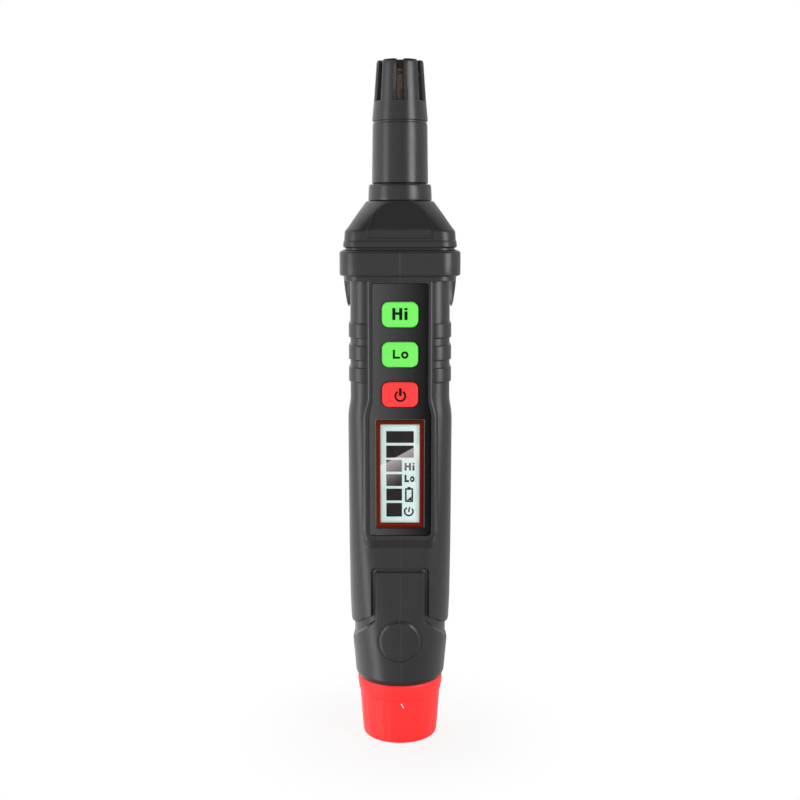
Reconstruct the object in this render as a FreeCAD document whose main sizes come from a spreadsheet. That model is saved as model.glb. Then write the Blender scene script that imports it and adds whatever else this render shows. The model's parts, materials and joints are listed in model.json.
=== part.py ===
import FreeCAD, Part

"""Pen-type moisture meter with a vented sensor head, as a parametric FreeCAD document.

Millimetres. +Z runs up the long axis, from the red battery cap to the sensor head. The keys and the
display face -Y. The origin is the centre of the battery cap's flat bottom.
"""

import os
from math import cos, radians, sin, tan
from types import SimpleNamespace

from FreeCAD import Placement, Rotation, Vector

doc = FreeCAD.newDocument("moisture_meter")

# ---------------------------------------------------------------- driving dimensions

SIZES = {
    # heights along the long axis
    "total_height": 214.0,
    "cap_top": 20.0,
    "tail_bottom": 20.3,
    "body_top": 149.4,
    "collar_top": 157.0,
    "nose_bottom": 157.9,
    "nose_top": 171.9,
    "ring_top": 177.0,
    "neck_top": 195.2,
    "vent_bottom": 196.0,
    # widths and depths of the housing
    "collar_width": 36.7,
    "collar_depth": 33.6,
    "body_width": 30.5,
    "body_depth": 28.0,
    "wall": 2.0,
    # face: raised plinth, glossy panel, keys and display
    "plinth_front": 15.2,
    "panel_back": 13.9,
    "panel_front": 15.0,
    "panel_top": 147.25,
    "panel_bottom": 69.6,
    "panel_half_upper": 8.5,
    "panel_half_lower": 9.5,
    "key_width": 11.0,
    "key_height": 7.7,
    "key_corner": 2.1,
    "key_front": 15.7,
    "key_travel": 0.5,
    "fit_gap": 0.15,
    "bezel_half_width": 7.4,
    "bezel_bottom": 71.9,
    "bezel_top": 105.8,
    "view_half_width": 6.0,
    "view_bottom": 73.6,
    "view_top": 104.4,
    # electronics
    "board_back": 6.4,
    "board_thick": 1.2,
    "board_bottom": 66.5,
    "board_top": 146.5,
    "board_half_width": 10.4,
    # battery compartment
    "cell_radius": 5.15,
    "cell_length": 44.5,
    "cell_spacing": 10.5,
    "cell_bottom": 12.5,
    "pocket_radius": 5.3,
    "tube_bottom": 12.0,
    "tube_top": 60.0,
    "tube_radius": 11.6,
    "tube_neck_radius": 11.2,
    "thread_pitch": 2.5,
    "thread_height": 0.55,
    "cap_bore": 11.95,
    # sensor head
    "neck_radius": 8.6,
    "neck_bore": 5.6,
    "vent_slot_width": 1.6,
    "vent_slot_bottom": 201.9,
    "vent_slot_count": 6,
    # fasteners
    "screw_depth_y": 8.0,
    "screw_radius": 1.1,
    "screw_head_radius": 2.0,
}

sheet = doc.addObject("Spreadsheet::Sheet", "dims")
for row, (alias, value) in enumerate(SIZES.items(), start=1):
    sheet.set(f"A{row}", alias)
    sheet.set(f"B{row}", str(value))
    sheet.setAlias(f"B{row}", alias)
doc.recompute()
D = SimpleNamespace(**{alias: float(sheet.get(alias)) for alias in SIZES})

KEY_CENTRES = {"key_hi": 138.0, "key_lo": 125.9, "key_power": 113.7}
SCREW_HEIGHTS = (66.5, 108.0, 143.5)

pieces = []

# ---------------------------------------------------------------- helpers


def keep(item, label):
    """Names a finished sub-part and adds it to the hand-over list."""
    item.Label = label
    pieces.append(item)
    return item


def bind(item, prop, value):
    """Sets a property to a number, or ties it to an expression over the sheet."""
    if isinstance(value, str):
        item.setExpression(prop, value)
    else:
        setattr(item, prop, value)


def box(name, low, high):
    """Box between two opposite corners."""
    item = doc.addObject("Part::Box", name)
    item.Length, item.Width, item.Height = (high[i] - low[i] for i in range(3))
    item.Placement = Placement(Vector(*low), Rotation())
    return item


def cylinder(name, radius, height, base=(0, 0, 0), direction=(0, 0, 1)):
    """Cylinder from a base point along a direction."""
    item = doc.addObject("Part::Cylinder", name)
    bind(item, "Radius", radius)
    bind(item, "Height", height)
    item.Placement = Placement(Vector(*base), Rotation(Vector(0, 0, 1), Vector(*direction)))
    return item


def torus(name, ring_radius, wire_radius, height):
    """Ring about the long axis."""
    item = doc.addObject("Part::Torus", name)
    item.Radius1 = ring_radius
    item.Radius2 = wire_radius
    item.Placement = Placement(Vector(0, 0, height), Rotation())
    return item


def fuse(name, *items):
    item = doc.addObject("Part::MultiFuse", name)
    item.Shapes = list(items)
    item.Refine = True
    return item


def group(name, *items):
    """Several separate solids in one node."""
    item = doc.addObject("Part::Compound", name)
    item.Links = list(items)
    return item


def cut(name, base, *tools):
    item = doc.addObject("Part::Cut", name)
    item.Base = base
    item.Tool = tools[0] if len(tools) == 1 else fuse(name + "_tools", *tools)
    return item


def common(name, one, other):
    item = doc.addObject("Part::Common", name)
    item.Base = one
    item.Tool = other
    return item


def feature(name, shape):
    """Shape worked out here from the sheet's sizes."""
    place = shape.Placement
    item = doc.addObject("Part::Feature", name)
    item.Shape = shape
    item.Placement = place
    return item


def corner_points(corner, before, after, radius):
    """Start, middle and end of the arc that rounds a corner of a polygon."""
    here = Vector(*corner, 0)
    back = (Vector(*before, 0) - here).normalize()
    ahead = (Vector(*after, 0) - here).normalize()
    half = back.getAngle(ahead) / 2
    reach = radius / tan(half)
    bisector = (back + ahead).normalize()
    centre = here + bisector * (radius / sin(half))
    return here + back * reach, centre - bisector * radius, here + ahead * reach


def outline_edges(points):
    """Edges of a closed polygon in the XY plane; a point's third value rounds its corner."""
    stretches = []
    for index, point in enumerate(points):
        before = points[index - 1][:2]
        after = points[(index + 1) % len(points)][:2]
        if len(point) == 3 and point[2] > 0:
            stretches.append(corner_points(point[:2], before, after, point[2]))
        else:
            stretches.append((Vector(point[0], point[1], 0),))
    edges = []
    for index, stretch in enumerate(stretches):
        if len(stretch) == 3:
            edges.append(Part.Arc(*stretch))
        start = stretch[-1]
        end = stretches[(index + 1) % len(stretches)][0]
        if start.distanceToPoint(end) > 1e-6:
            edges.append(Part.LineSegment(start, end))
    return edges


def rounded(half_x, low_y, high_y, radius):
    """Corner list of a rectangle centred on x = 0."""
    return [
        (-half_x, low_y, radius),
        (half_x, low_y, radius),
        (half_x, high_y, radius),
        (-half_x, high_y, radius),
    ]


def mirrored(points):
    """Closes the right half of an outline with its mirror image."""
    return list(points) + [(-p[0], *p[1:]) for p in reversed(points)]


def circle_at(x, y, radius):
    return Part.Circle(Vector(x, y, 0), Vector(0, 0, 1), radius)


def new_body(label):
    body = doc.addObject("PartDesign::Body", label)
    return body


def add_sketch(body, name, role, loops, offset=0.0):
    """Sketch on one of the body's own planes, moved along that plane's normal."""
    sketch = body.newObject("Sketcher::SketchObject", name)
    plane = next(f for f in body.Origin.OriginFeatures if f.Role == role)
    sketch.AttachmentSupport = [(plane, "")]
    sketch.MapMode = "FlatFace"
    sketch.AttachmentOffset = Placement(Vector(0, 0, offset), Rotation())
    for loop in loops:
        edges = [loop] if isinstance(loop, Part.Circle) else outline_edges(loop)
        sketch.addGeometry(edges, False)
    return sketch


def add_pad(body, sketch, length):
    pad = body.newObject("PartDesign::Pad", sketch.Name + "_pad")
    pad.Profile = sketch
    bind(pad, "Length", length)
    return pad


def add_pocket(body, sketch, length, towards_normal=False):
    """Pocket against the sketch's normal, or along it."""
    before = body.Shape.Volume
    pocket = body.newObject("PartDesign::Pocket", sketch.Name + "_pocket")
    pocket.Profile = sketch
    bind(pocket, "Length", length)
    pocket.Reversed = towards_normal
    doc.recompute()
    if body.Shape.Volume >= before - 1e-6:
        raise RuntimeError(sketch.Name + " cuts nothing")
    return pocket


def plate(label, role, loops, offset, length):
    """Flat piece: one sketch, one pad along the plane's normal."""
    body = new_body(label)
    sketch = add_sketch(body, label + "_outline", role, loops, offset)
    add_pad(body, sketch, length)
    doc.recompute()
    return body


def front_plate(label, loops, back, length):
    """Flat piece that faces -Y; its back lies at y = -back."""
    return plate(label, "XZ_Plane", loops, back, length)


def turned(label, profile):
    """Piece turned about the long axis from (radius, height) corners."""
    body = new_body(label)
    sketch = add_sketch(body, label + "_profile", "XZ_Plane", [profile])
    turn = body.newObject("PartDesign::Revolution", label + "_turn")
    turn.Profile = sketch
    turn.ReferenceAxis = (sketch, ["V_Axis"])
    turn.Angle = 360
    doc.recompute()
    return body


def front_tool(name, points, y_low, y_high):
    """Prism along Y over an outline in the XZ plane."""
    face = Part.Face(Part.Wire([edge.toShape() for edge in outline_edges(points)]))
    face.rotate(Vector(0, 0, 0), Vector(1, 0, 0), 90)
    face.translate(Vector(0, y_high, 0))
    return feature(name, face.extrude(Vector(0, y_low - y_high, 0)))


def side_tool(name, points, half_x):
    """Prism along X over an outline of (y, z) corners."""
    corners = [Vector(-half_x, y, z) for y, z in points]
    face = Part.Face(Part.makePolygon(corners + corners[:1]))
    return feature(name, face.extrude(Vector(2 * half_x, 0, 0)))


def level_section(name, z, width, depth, corner):
    """Rounded rectangle, level at height z."""
    points = rounded(width / 2, -depth / 2, depth / 2, corner)
    wire = Part.Wire([edge.toShape() for edge in outline_edges(points)])
    wire.translate(Vector(0, 0, z))
    return feature(name, wire)


def tower(name, sections):
    """Straight-sided loft through level rounded rectangles (z, width, depth, corner)."""
    item = doc.addObject("Part::Loft", name)
    item.Sections = [level_section(f"{name}_{i}", *s) for i, s in enumerate(sections)]
    item.Solid = True
    item.Ruled = True
    return item


def helical_rib(root, tip, root_width, tip_width, z_start, turns, start_angle):
    """Thread rib of trapezium section wound about the long axis."""
    helix = Part.Wire(Part.makeHelix(D.thread_pitch, D.thread_pitch * turns, (root + tip) / 2))
    corners = [
        Vector(root, 0, -root_width / 2),
        Vector(tip, 0, -tip_width / 2),
        Vector(tip, 0, tip_width / 2),
        Vector(root, 0, root_width / 2),
    ]
    profile = Part.makePolygon(corners + corners[:1])
    rib = helix.makePipeShell([profile], True, True)
    rib.rotate(Vector(0, 0, 0), Vector(0, 0, 1), start_angle)
    rib.translate(Vector(0, 0, z_start))
    return rib


def wire_path(name, points, radius):
    """Round wire along a smooth curve through the points."""
    curve = Part.BSplineCurve()
    curve.interpolate([Vector(*p) for p in points])
    spine = Part.Wire(curve.toShape())
    start = curve.value(curve.FirstParameter)
    heading = curve.tangent(curve.FirstParameter)[0]
    profile = Part.Wire(Part.makeCircle(radius, start, heading))
    return feature(name, spine.makePipeShell([profile], True, True))


def cone_coil(name, x, z, turns, wide, narrow, height, wire_radius, upward):
    """Conical contact spring that stands on its wide end, or hangs from it."""
    steps = 16 * turns
    points = []
    for i in range(steps + 1):
        share = i / steps
        angle = radians(360 * turns * share)
        radius = wide + (narrow - wide) * share
        level = height * share if upward else -height * share
        points.append((x + radius * cos(angle), radius * sin(angle), z + level))
    return wire_path(name, points, wire_radius)


# ---------------------------------------------------------------- housing, in two halves


def housing_body():
    """Both halves of the housing as one solid, before it is split on the middle plane."""
    width, depth = D.body_width, D.body_depth

    body = tower("grip_body", [
        (36.0, 29.9, depth - 1.0, 12.5),
        (39.2, 31.2, depth, 12.5),
        (47.0, 31.8, depth, 11.5),
        (64.0, 32.1, depth, 9.5),
        (77.0, 32.1, depth, 8.0),
        (105.6, 32.2, depth, 6.8),
        (107.8, 31.9, depth, 6.5),
        (111.5, 30.6, depth, 6.0),
        (148.5, width, depth, 6.0),
    ])
    boot = tower("tail_boot", [
        (D.tail_bottom, 27.2, 27.2, 13.5),
        (21.5, 28.6, 28.4, 14.1),
        (27.0, 29.5, 28.7, 14.2),
        (31.8, 30.3, 28.8, 14.2),
        (42.0, 31.3, 28.5, 13.0),
        (58.5, 32.0, 28.3, 10.5),
    ])
    core = tower("tail_core", [
        (22.0, 26.0, 25.6, 12.7),
        (34.5, 29.2, 26.8, 13.2),
        (60.0, 29.4, 26.4, 10.0),
    ])
    arch = mirrored([
        (20.0, 20.0),
        (20.0, 38.8),
        (15.4, 38.8),
        (13.9, 39.1),
        (11.6, 41.2),
        (8.9, 42.6),
    ])
    tongue = mirrored([(8.9, 30.0), (8.9, 58.5, 1.3)])
    boot_arch = mirrored([(20.0, 20.0), (20.0, 32.4), (14.9, 32.4), (13.3, 36.0, 1.5), (8.0, 41.3)])
    boot_tongue = mirrored([(7.95, 30.0), (7.95, 57.6, 0.8)])
    body = cut(
        "grip_shape",
        body,
        front_tool("arch_gap", arch, -25, 25),
        front_tool("tongue_gap", tongue, -25, 0),
    )
    boot = common(
        "boot_shape",
        boot,
        fuse(
            "boot_region",
            front_tool("boot_arch", boot_arch, -25, 25),
            front_tool("boot_tongue", boot_tongue, -25, 0),
        ),
    )
    disc = common(
        "tail_disc",
        cylinder("disc_round", 6.55, 14.75, (0, 0, 34.8), (0, -1, 0)),
        tower("disc_skin", [
            (20.0, 28.4, 28.2, 14.05),
            (31.8, 30.7, 29.4, 14.5),
            (50.0, 32.0, 29.4, 12.5),
        ]),
    )
    collar = tower("collar", [
        (D.body_top, 35.7, 32.6, 6.3),
        (D.body_top + 0.7, D.collar_width, D.collar_depth, 6.7),
        (D.collar_top - 0.8, D.collar_width, D.collar_depth, 6.7),
        (D.collar_top, 35.1, 32.0, 6.0),
    ])
    flange = tower("collar_flange", [(147.9, 34.0, 30.6, 6.0), (149.6, 34.0, 30.6, 6.0)])
    ears = [ear(side) for side in (-1, 1)]
    ribs = [
        tower(f"grip_rib_{i}", [
            (centre - 2.25, width + 0.2, depth + 0.1, 6.0),
            (centre - 1.8, width + 0.95, depth + 0.4, 6.2),
            (centre + 1.8, width + 0.95, depth + 0.4, 6.2),
            (centre + 2.25, width + 0.2, depth + 0.1, 6.0),
        ])
        for i, centre in enumerate((119.25, 126.05, 132.8))
    ]
    return fuse("housing_outside", body, boot, core, disc, collar, flange, plinth(), *ears, *ribs)


def ear(side):
    """Leaf that hangs from the collar on the side of the body, its tip just clear of the wall."""
    label = "ear_left" if side < 0 else "ear_right"
    outline = [
        (12.0, 148.4),
        (17.5, 148.4),
        (17.15, 145.1),
        (16.5, 141.0),
        (15.95, 139.8),
        (15.4, 142.4),
        (12.0, 142.4),
    ]
    return front_tool(label, [(side * x, z) for x, z in outline], -4.5, 4.5)


def face_outline(half_upper, half_lower, top, bottom, corner, jog_top, jog_bottom):
    """Outline of the face: narrow beside the keys, wide beside the display."""
    return mirrored([
        (half_lower, bottom, corner),
        (half_lower, jog_bottom, 3.0),
        (half_upper, jog_top, 3.0),
        (half_upper, top, 0.6),
    ])


def plinth():
    """Raised pad that carries the face panel, with sloping sides and a long slope at the bottom."""
    wires = []
    for depth, upper, lower, bottom, corner in (
        (D.body_depth / 2 - 4.0, 11.7, 13.5, 57.2, 8.0),
        (D.plinth_front - 0.2, 9.95, 11.25, 67.2, 3.6),
        (D.plinth_front, 9.75, 11.05, 67.7, 3.4),
    ):
        points = face_outline(upper, lower, 148.8, bottom, corner, 111.9, 107.4)
        wire = Part.Wire([edge.toShape() for edge in outline_edges(points)])
        wire.rotate(Vector(0, 0, 0), Vector(1, 0, 0), 90)
        wire.translate(Vector(0, -depth, 0))
        wires.append(wire)
    return feature("face_plinth", Part.makeLoft(wires, True, True))


def housing_hollow():
    """Everything cut out of the housing."""
    inner = D.body_width - 2 * D.wall
    deep = D.body_depth - 2 * D.wall
    cavity = tower("board_cavity", [
        (62.0, 27.0, deep, 7.0),
        (105.0, inner, deep, 4.5),
        (149.0, inner, deep, 4.5),
        (151.0, 31.4, 27.4, 5.2),
        (D.collar_top + 0.5, 31.4, 27.4, 5.2),
    ])
    bore = cylinder("tube_bore", D.tube_radius + 0.1, 42.0, (0, 0, 22.0))
    mouth = cylinder("tube_mouth", D.tube_neck_radius + 0.1, 3.0, (0, 0, 20.0))
    groove = cylinder("tube_flange_groove", 12.5, 2.2, (0, 0, 55.9))
    panel = front_tool("panel_seat", panel_outline(0.1), -20, -D.panel_back)
    display = front_tool("display_opening", mirrored([(7.9, 71.4), (7.9, 106.3)]), -20, -8)
    keys = [
        front_tool(label + "_opening", key_outline(centre, 0.3), -20, -8)
        for label, centre in KEY_CENTRES.items()
    ]
    return [cavity, bore, mouth, groove, panel, display, *keys]


def board_rails():
    """Ribs inside both side walls that hold the edges of the main board."""
    rails = []
    for side in (-1, 1):
        x_low, x_high = sorted((side * 9.6, side * 14.2))
        for z in (76.0, 100.0, 122.0, 140.0):
            for y in (-D.board_back - D.board_thick - 0.9, -D.board_back + 0.1):
                rails.append(box("board_rail", (x_low, y, z), (x_high, y + 0.8, z + 1.5)))
    return rails


def housing():
    outside = housing_body()
    shell = cut("housing_shell", outside, *housing_hollow())
    posts = [
        cylinder(f"screw_post_{i}", 2.7, 28.0, (-14.0, D.screw_depth_y, z), (1, 0, 0))
        for i, z in enumerate(SCREW_HEIGHTS)
    ]
    whole = fuse("housing_whole", shell, *board_rails(), *posts)
    halves = {}
    for label, side in (("left_shell", -1), ("right_shell", 1)):
        x_low, x_high = sorted((0, side * 30))
        room = box(label + "_side", (x_low, -30, 0), (x_high, 30, 220))
        halves[label] = common(label + "_half", whole, room)
    pilots = [
        cylinder(f"pilot_{i}", D.screw_radius - 0.15, 9.5, (-9.5, D.screw_depth_y, z), (1, 0, 0))
        for i, z in enumerate(SCREW_HEIGHTS)
    ]
    clearances = [
        cylinder(f"clearance_{i}", D.screw_radius + 0.15, 30.0, (0, D.screw_depth_y, z), (1, 0, 0))
        for i, z in enumerate(SCREW_HEIGHTS)
    ]
    sinks = [
        cylinder(f"sink_{i}", D.screw_head_radius + 0.2, 20.0, (12.0, D.screw_depth_y, z), (1, 0, 0))
        for i, z in enumerate(SCREW_HEIGHTS)
    ]
    keep(cut("left_shell_cut", halves["left_shell"], *pilots), "left_shell")
    keep(cut("right_shell_cut", halves["right_shell"], *clearances, *sinks), "right_shell")


def shell_screws():
    """Screws that pull the two halves together from the right."""
    y = D.screw_depth_y
    screws = []
    for i, z in enumerate(SCREW_HEIGHTS):
        shank = cylinder(f"screw_shank_{i}", D.screw_radius - 0.15, 20.5, (-8.5, y, z), (1, 0, 0))
        head = cylinder(f"screw_head_{i}", "dims.screw_head_radius", 1.4, (12.0, y, z), (1, 0, 0))
        cross = [
            box(f"screw_slot_{i}_{j}", (12.6, y - a, z - b), (14.0, y + a, z + b))
            for j, (a, b) in enumerate(((1.2, 0.25), (0.25, 1.2)))
        ]
        screws.append(cut(f"screw_{i}", fuse(f"screw_blank_{i}", shank, head), *cross))
    keep(group("screws", *screws), "shell_screws")


# ---------------------------------------------------------------- sensor head


def nose_cone():
    """Tapering cap over the top of both halves, with a flat facet in front."""
    outside = fuse(
        "nose_outside",
        tower("nose_taper", [
            (D.nose_bottom, 33.8, 30.5, 5.4),
            (D.nose_bottom + 0.4, 34.5, 31.2, 5.5),
            (159.9, 34.2, 30.9, 5.5),
            (160.1, 33.8, 30.5, 5.4),
            (162.6, 33.5, 30.2, 5.4),
            (163.2, 33.0, 29.8, 5.6),
            (164.9, 30.3, 28.0, 6.2),
            (167.4, 27.0, 25.4, 7.0),
            (171.0, 22.1, 21.8, 9.0),
            (D.nose_top, 20.6, 20.6, 9.8),
        ]),
        tower("nose_seat", [(D.collar_top, 33.1, 29.9, 5.3), (158.5, 33.1, 29.9, 5.3)]),
        tower("nose_spigot", [(152.0, 31.0, 27.0, 5.0), (158.5, 31.0, 27.0, 5.0)]),
    )
    facet_side = [(-20, 160.7), (-14.7, 160.7), (-14.5, 163.2), (-9.9, 172.5), (-20, 172.5)]
    facet = common(
        "nose_facet",
        side_tool("facet_depth", facet_side, 12),
        front_tool("facet_width", mirrored([(9.9, 160), (9.9, 163.2), (6.0, 172.5)]), -20, 0),
    )
    hollow = tower("nose_hollow", [
        (151.0, 27.0, 23.0, 4.0),
        (162.0, 27.0, 23.0, 5.0),
        (165.5, 20.0, 19.0, 8.0),
    ])
    bore = cylinder("nose_bore", 7.85, 20.0, (0, 0, 155.0))
    foot = cylinder("neck_foot_seat", 9.7, 10.6, (0, 0, 155.0))
    seal_seat = cylinder("neck_seal_seat", 8.9, 3.0, (0, 0, 170.8))
    keep(cut("nose", outside, facet, hollow, bore, foot, seal_seat), "nose_cone")


def neck_parts():
    """Ring, seal and tube between the nose and the vent cap."""
    neck = turned("neck_tube", [
        (D.neck_bore, 163.0),
        (9.6, 163.0),
        (9.6, 165.4),
        (7.75, 165.4),
        (7.75, D.ring_top + 0.2),
        (D.neck_radius, D.ring_top + 0.2, 0.25),
        (8.35, 193.5),
        (8.15, D.neck_top, 0.3),
        (7.0, D.neck_top),
        (7.0, 199.5),
        (6.35, 199.5),
        (6.35, 197.6),
        (D.neck_bore, 197.6),
    ])
    keep(neck, "probe_neck")
    ring = turned("neck_collar", [
        (7.85, 172.0),
        (9.8, 172.0, 0.25),
        (9.6, D.ring_top, 0.5),
        (7.85, D.ring_top),
    ])
    keep(ring, "neck_ring")
    keep(torus("neck_o_ring", 8.35, 0.5, 171.35), "neck_seal")


def vent_cap():
    """Slotted cap that lets air reach the sensor."""
    body = turned("vent", [
        (7.05, D.vent_bottom),
        (8.35, D.vent_bottom, 0.2),
        (8.45, D.vent_bottom + 0.8),
        (7.75, 205.4),
        (7.15, D.total_height - 0.4, 0.5),
        (6.6, D.total_height),
        (0, D.total_height),
        (0, 212.4),
        (6.0, 212.4),
        (6.0, 200.35),
        (7.05, 200.35),
    ])
    half = D.vent_slot_width / 2
    slot_outline = mirrored([(half, -3.6), (half, -6.4), (1.75, -8.9)])
    sketch = add_sketch(body, "vent_slot", "XY_Plane", [slot_outline], D.total_height + 0.5)
    slot = add_pocket(body, sketch, "dims.total_height + 0.5 - dims.vent_slot_bottom")
    pattern = body.newObject("PartDesign::PolarPattern", "vent_slots")
    pattern.Originals = [slot]
    pattern.Axis = (sketch, ["N_Axis"])
    pattern.Angle = 360
    bind(pattern, "Occurrences", "dims.vent_slot_count")
    body.Tip = pattern
    keep(body, "vent_cap")


def sensor_parts():
    """Filter, sensing element, its pins, board and wires."""
    cup = turned("filter_cup", [
        (4.9, 199.6),
        (6.9, 199.6),
        (6.9, 200.3),
        (5.8, 200.3),
        (5.8, 210.9, 0.4),
        (0, 210.9),
        (0, 210.0),
        (4.9, 210.0),
    ])
    keep(cup, "sensor_filter")
    can = turned("can", [
        (0, 202.0),
        (4.7, 202.0),
        (4.7, 202.7),
        (4.3, 202.7),
        (4.3, 208.6, 0.4),
        (3.2, 208.6),
        (3.2, 208.2),
        (0, 208.2),
    ])
    keep(can, "sensor_can")
    places = [(x, y) for x in (-2.2, 2.2) for y in (-1.6, 1.6)]
    pins = [cylinder(f"sensor_pin_{i}", 0.25, 5.3, (x, y, 196.7)) for i, (x, y) in enumerate(places)]
    keep(group("sensor_pin_set", *pins), "sensor_pins")
    holes = [circle_at(x, y, 0.3) for x, y in places]
    board = plate("sensor_disc", "XY_Plane", [circle_at(0, 0, 6.2), *holes], 197.65, 1.0)
    keep(board, "sensor_board")
    wires = [
        wire_path(
            f"sensor_wire_{i}",
            [
                (x, 0, 197.6),
                (x, 0, 185),
                (x, 0.4, 168),
                (0.7 * x, 0, 156),
                (0.5 * x, -5.0, 146),
                (0.5 * x, -5.2, 143.2),
            ],
            0.45,
        )
        for i, x in enumerate((-3.9, 0.0, 3.9))
    ]
    keep(group("sensor_wires", *wires), "sensor_cable")


# ---------------------------------------------------------------- face: panel, keys, display


def key_outline(centre, extra=0.0):
    """Corner list of a key, grown by a margin."""
    half_x = D.key_width / 2 + extra
    half_z = D.key_height / 2 + extra
    corner = D.key_corner + extra
    return rounded(half_x, centre - half_z, centre + half_z, corner)


def panel_outline(gap=0.0):
    """Corner list of the face panel, grown by a margin."""
    return face_outline(
        D.panel_half_upper + gap,
        D.panel_half_lower + gap,
        D.panel_top + gap,
        D.panel_bottom - gap,
        1.0 + gap,
        111.5,
        107.5,
    )


def face_parts():
    panel = front_plate(
        "panel",
        [
            panel_outline(),
            rounded(D.bezel_half_width + 0.1, D.bezel_bottom - 0.1, D.bezel_top + 0.1, 0),
            *[key_outline(centre, D.fit_gap) for centre in KEY_CENTRES.values()],
        ],
        D.panel_back,
        "dims.panel_front - dims.panel_back",
    )
    keep(panel, "face_panel")
    bezel = front_plate(
        "bezel",
        [
            rounded(D.bezel_half_width, D.bezel_bottom, D.bezel_top, 0.3),
            rounded(D.view_half_width, D.view_bottom, D.view_top, 0.2),
        ],
        14.6,
        0.65,
    )
    keep(bezel, "display_bezel")
    pane = rounded(D.bezel_half_width, D.bezel_bottom, D.bezel_top, 0.3)
    window = front_plate("window", [pane], 13.95, 0.6)
    keep(window, "display_window")
    glass = front_plate("glass", [rounded(7.7, 71.5, 106.2, 0)], 12.3, 1.55)
    keep(glass, "lcd_glass")
    light = front_plate("light", [rounded(7.2, 73.7, 104.1, 0.5)], 10.2, 2.0)
    keep(light, "backlight")
    holder_loops = [rounded(7.4, 73.7, 104.1, 0.5), rounded(6.2, 75.0, 102.8, 0.5)]
    holder = front_plate("holder", holder_loops, 7.65, 2.5)
    keep(holder, "display_holder")
    strips = [
        front_plate(f"strip_{i}", [rounded(6.8, low, low + 1.5, 0)], 7.65, 4.6)
        for i, low in enumerate((71.9, 104.3))
    ]
    keep(group("strips", *strips), "zebra_strips")


def keys():
    """Three keys, each with the plunger of the switch it presses."""
    board_front = D.board_back + D.board_thick
    stem_back = 10.3
    switch_front = stem_back - D.key_travel - 0.1
    switches = []
    for label, centre in KEY_CENTRES.items():
        body = front_plate(label + "_cap", [key_outline(centre)], 11.8, "dims.key_front - 11.8")
        front_edges = [
            f"Edge{i}"
            for i, edge in enumerate(body.Shape.Edges, start=1)
            if edge.BoundBox.YMax < 0.01 - D.key_front
        ]
        block = body.Tip
        rounding = body.newObject("PartDesign::Fillet", label + "_rounding")
        rounding.Base = (block, front_edges)
        rounding.Radius = 0.45
        rim = rounded(6.4, centre - 4.7, centre + 4.7, 1.0)
        flange = add_sketch(body, label + "_flange", "XZ_Plane", [rim], 11.0)
        add_pad(body, flange, 0.85)
        stem = add_sketch(body, label + "_stem", "XZ_Plane", [circle_at(0, centre, 1.6)], stem_back)
        add_pad(body, stem, 0.9)
        keep(body, label)
        plunger = cylinder(label + "_push", 1.2, 0.95, (0, -10.25, centre), (0, 1, 0))
        keep(plunger, label.replace("key", "plunger"))
        case = box(label + "_case", (-3, -switch_front, centre - 3), (3, -board_front, centre + 3))
        well = cylinder(label + "_well", 1.3, 1.4, (0, -10.0, centre), (0, 1, 0))
        switches.append(cut(label + "_switch", case, well))
    keep(group("switches", *switches), "key_switches")


# ---------------------------------------------------------------- main board


def board_parts():
    back = -D.board_back
    board = front_plate(
        "board",
        [rounded(D.board_half_width, D.board_bottom, D.board_top, 1.0)],
        D.board_back,
        "dims.board_thick",
    )
    keep(board, "main_board")
    chip = box("chip", (-3.5, back, 91.0), (3.5, back + 1.2, 98.0))
    keep(chip, "microcontroller")
    coil = cylinder("boost_coil", 2.6, 2.8, (-5.5, back, 81.0), (0, 1, 0))
    can = cylinder("bulk_capacitor", 2.5, 5.0, (5.5, back, 81.0), (0, 1, 0))
    crystal = box("crystal", (-8.0, back, 93.0), (-5.0, back + 1.0, 96.0))
    amplifier = box("amplifier", (-2.5, back, 116.0), (2.5, back + 1.5, 120.0))
    chips = []
    for row in range(8):
        for side in (-1, 1):
            beside_crystal = side < 0 and row == 1
            if beside_crystal:
                continue
            x, z = side * 7.0, 88.0 + 5.5 * row
            low, high = (x - 0.8, back, z), (x + 0.8, back + 0.5, z + 0.9)
            chips.append(box(f"resistor_{row}_{side}", low, high))
    keep(group("board_set", coil, can, crystal, amplifier, *chips), "board_parts")
    sockets = [
        box("sensor_socket", (-4.0, back, 139.5), (4.0, back + 2.4, 143.0)),
        box("battery_socket", (-3.5, back, 69.0), (3.5, back + 2.4, 72.5)),
    ]
    keep(group("socket_set", *sockets), "cable_sockets")
    case = cylinder("buzzer_case", 4.4, 4.0, (0, back, 129.5), (0, 1, 0))
    port = cylinder("buzzer_port", 0.9, 1.0, (0, back + 3.2, 129.5), (0, 1, 0))
    keep(cut("buzzer_cut", case, port), "buzzer")


# ---------------------------------------------------------------- battery compartment


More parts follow.
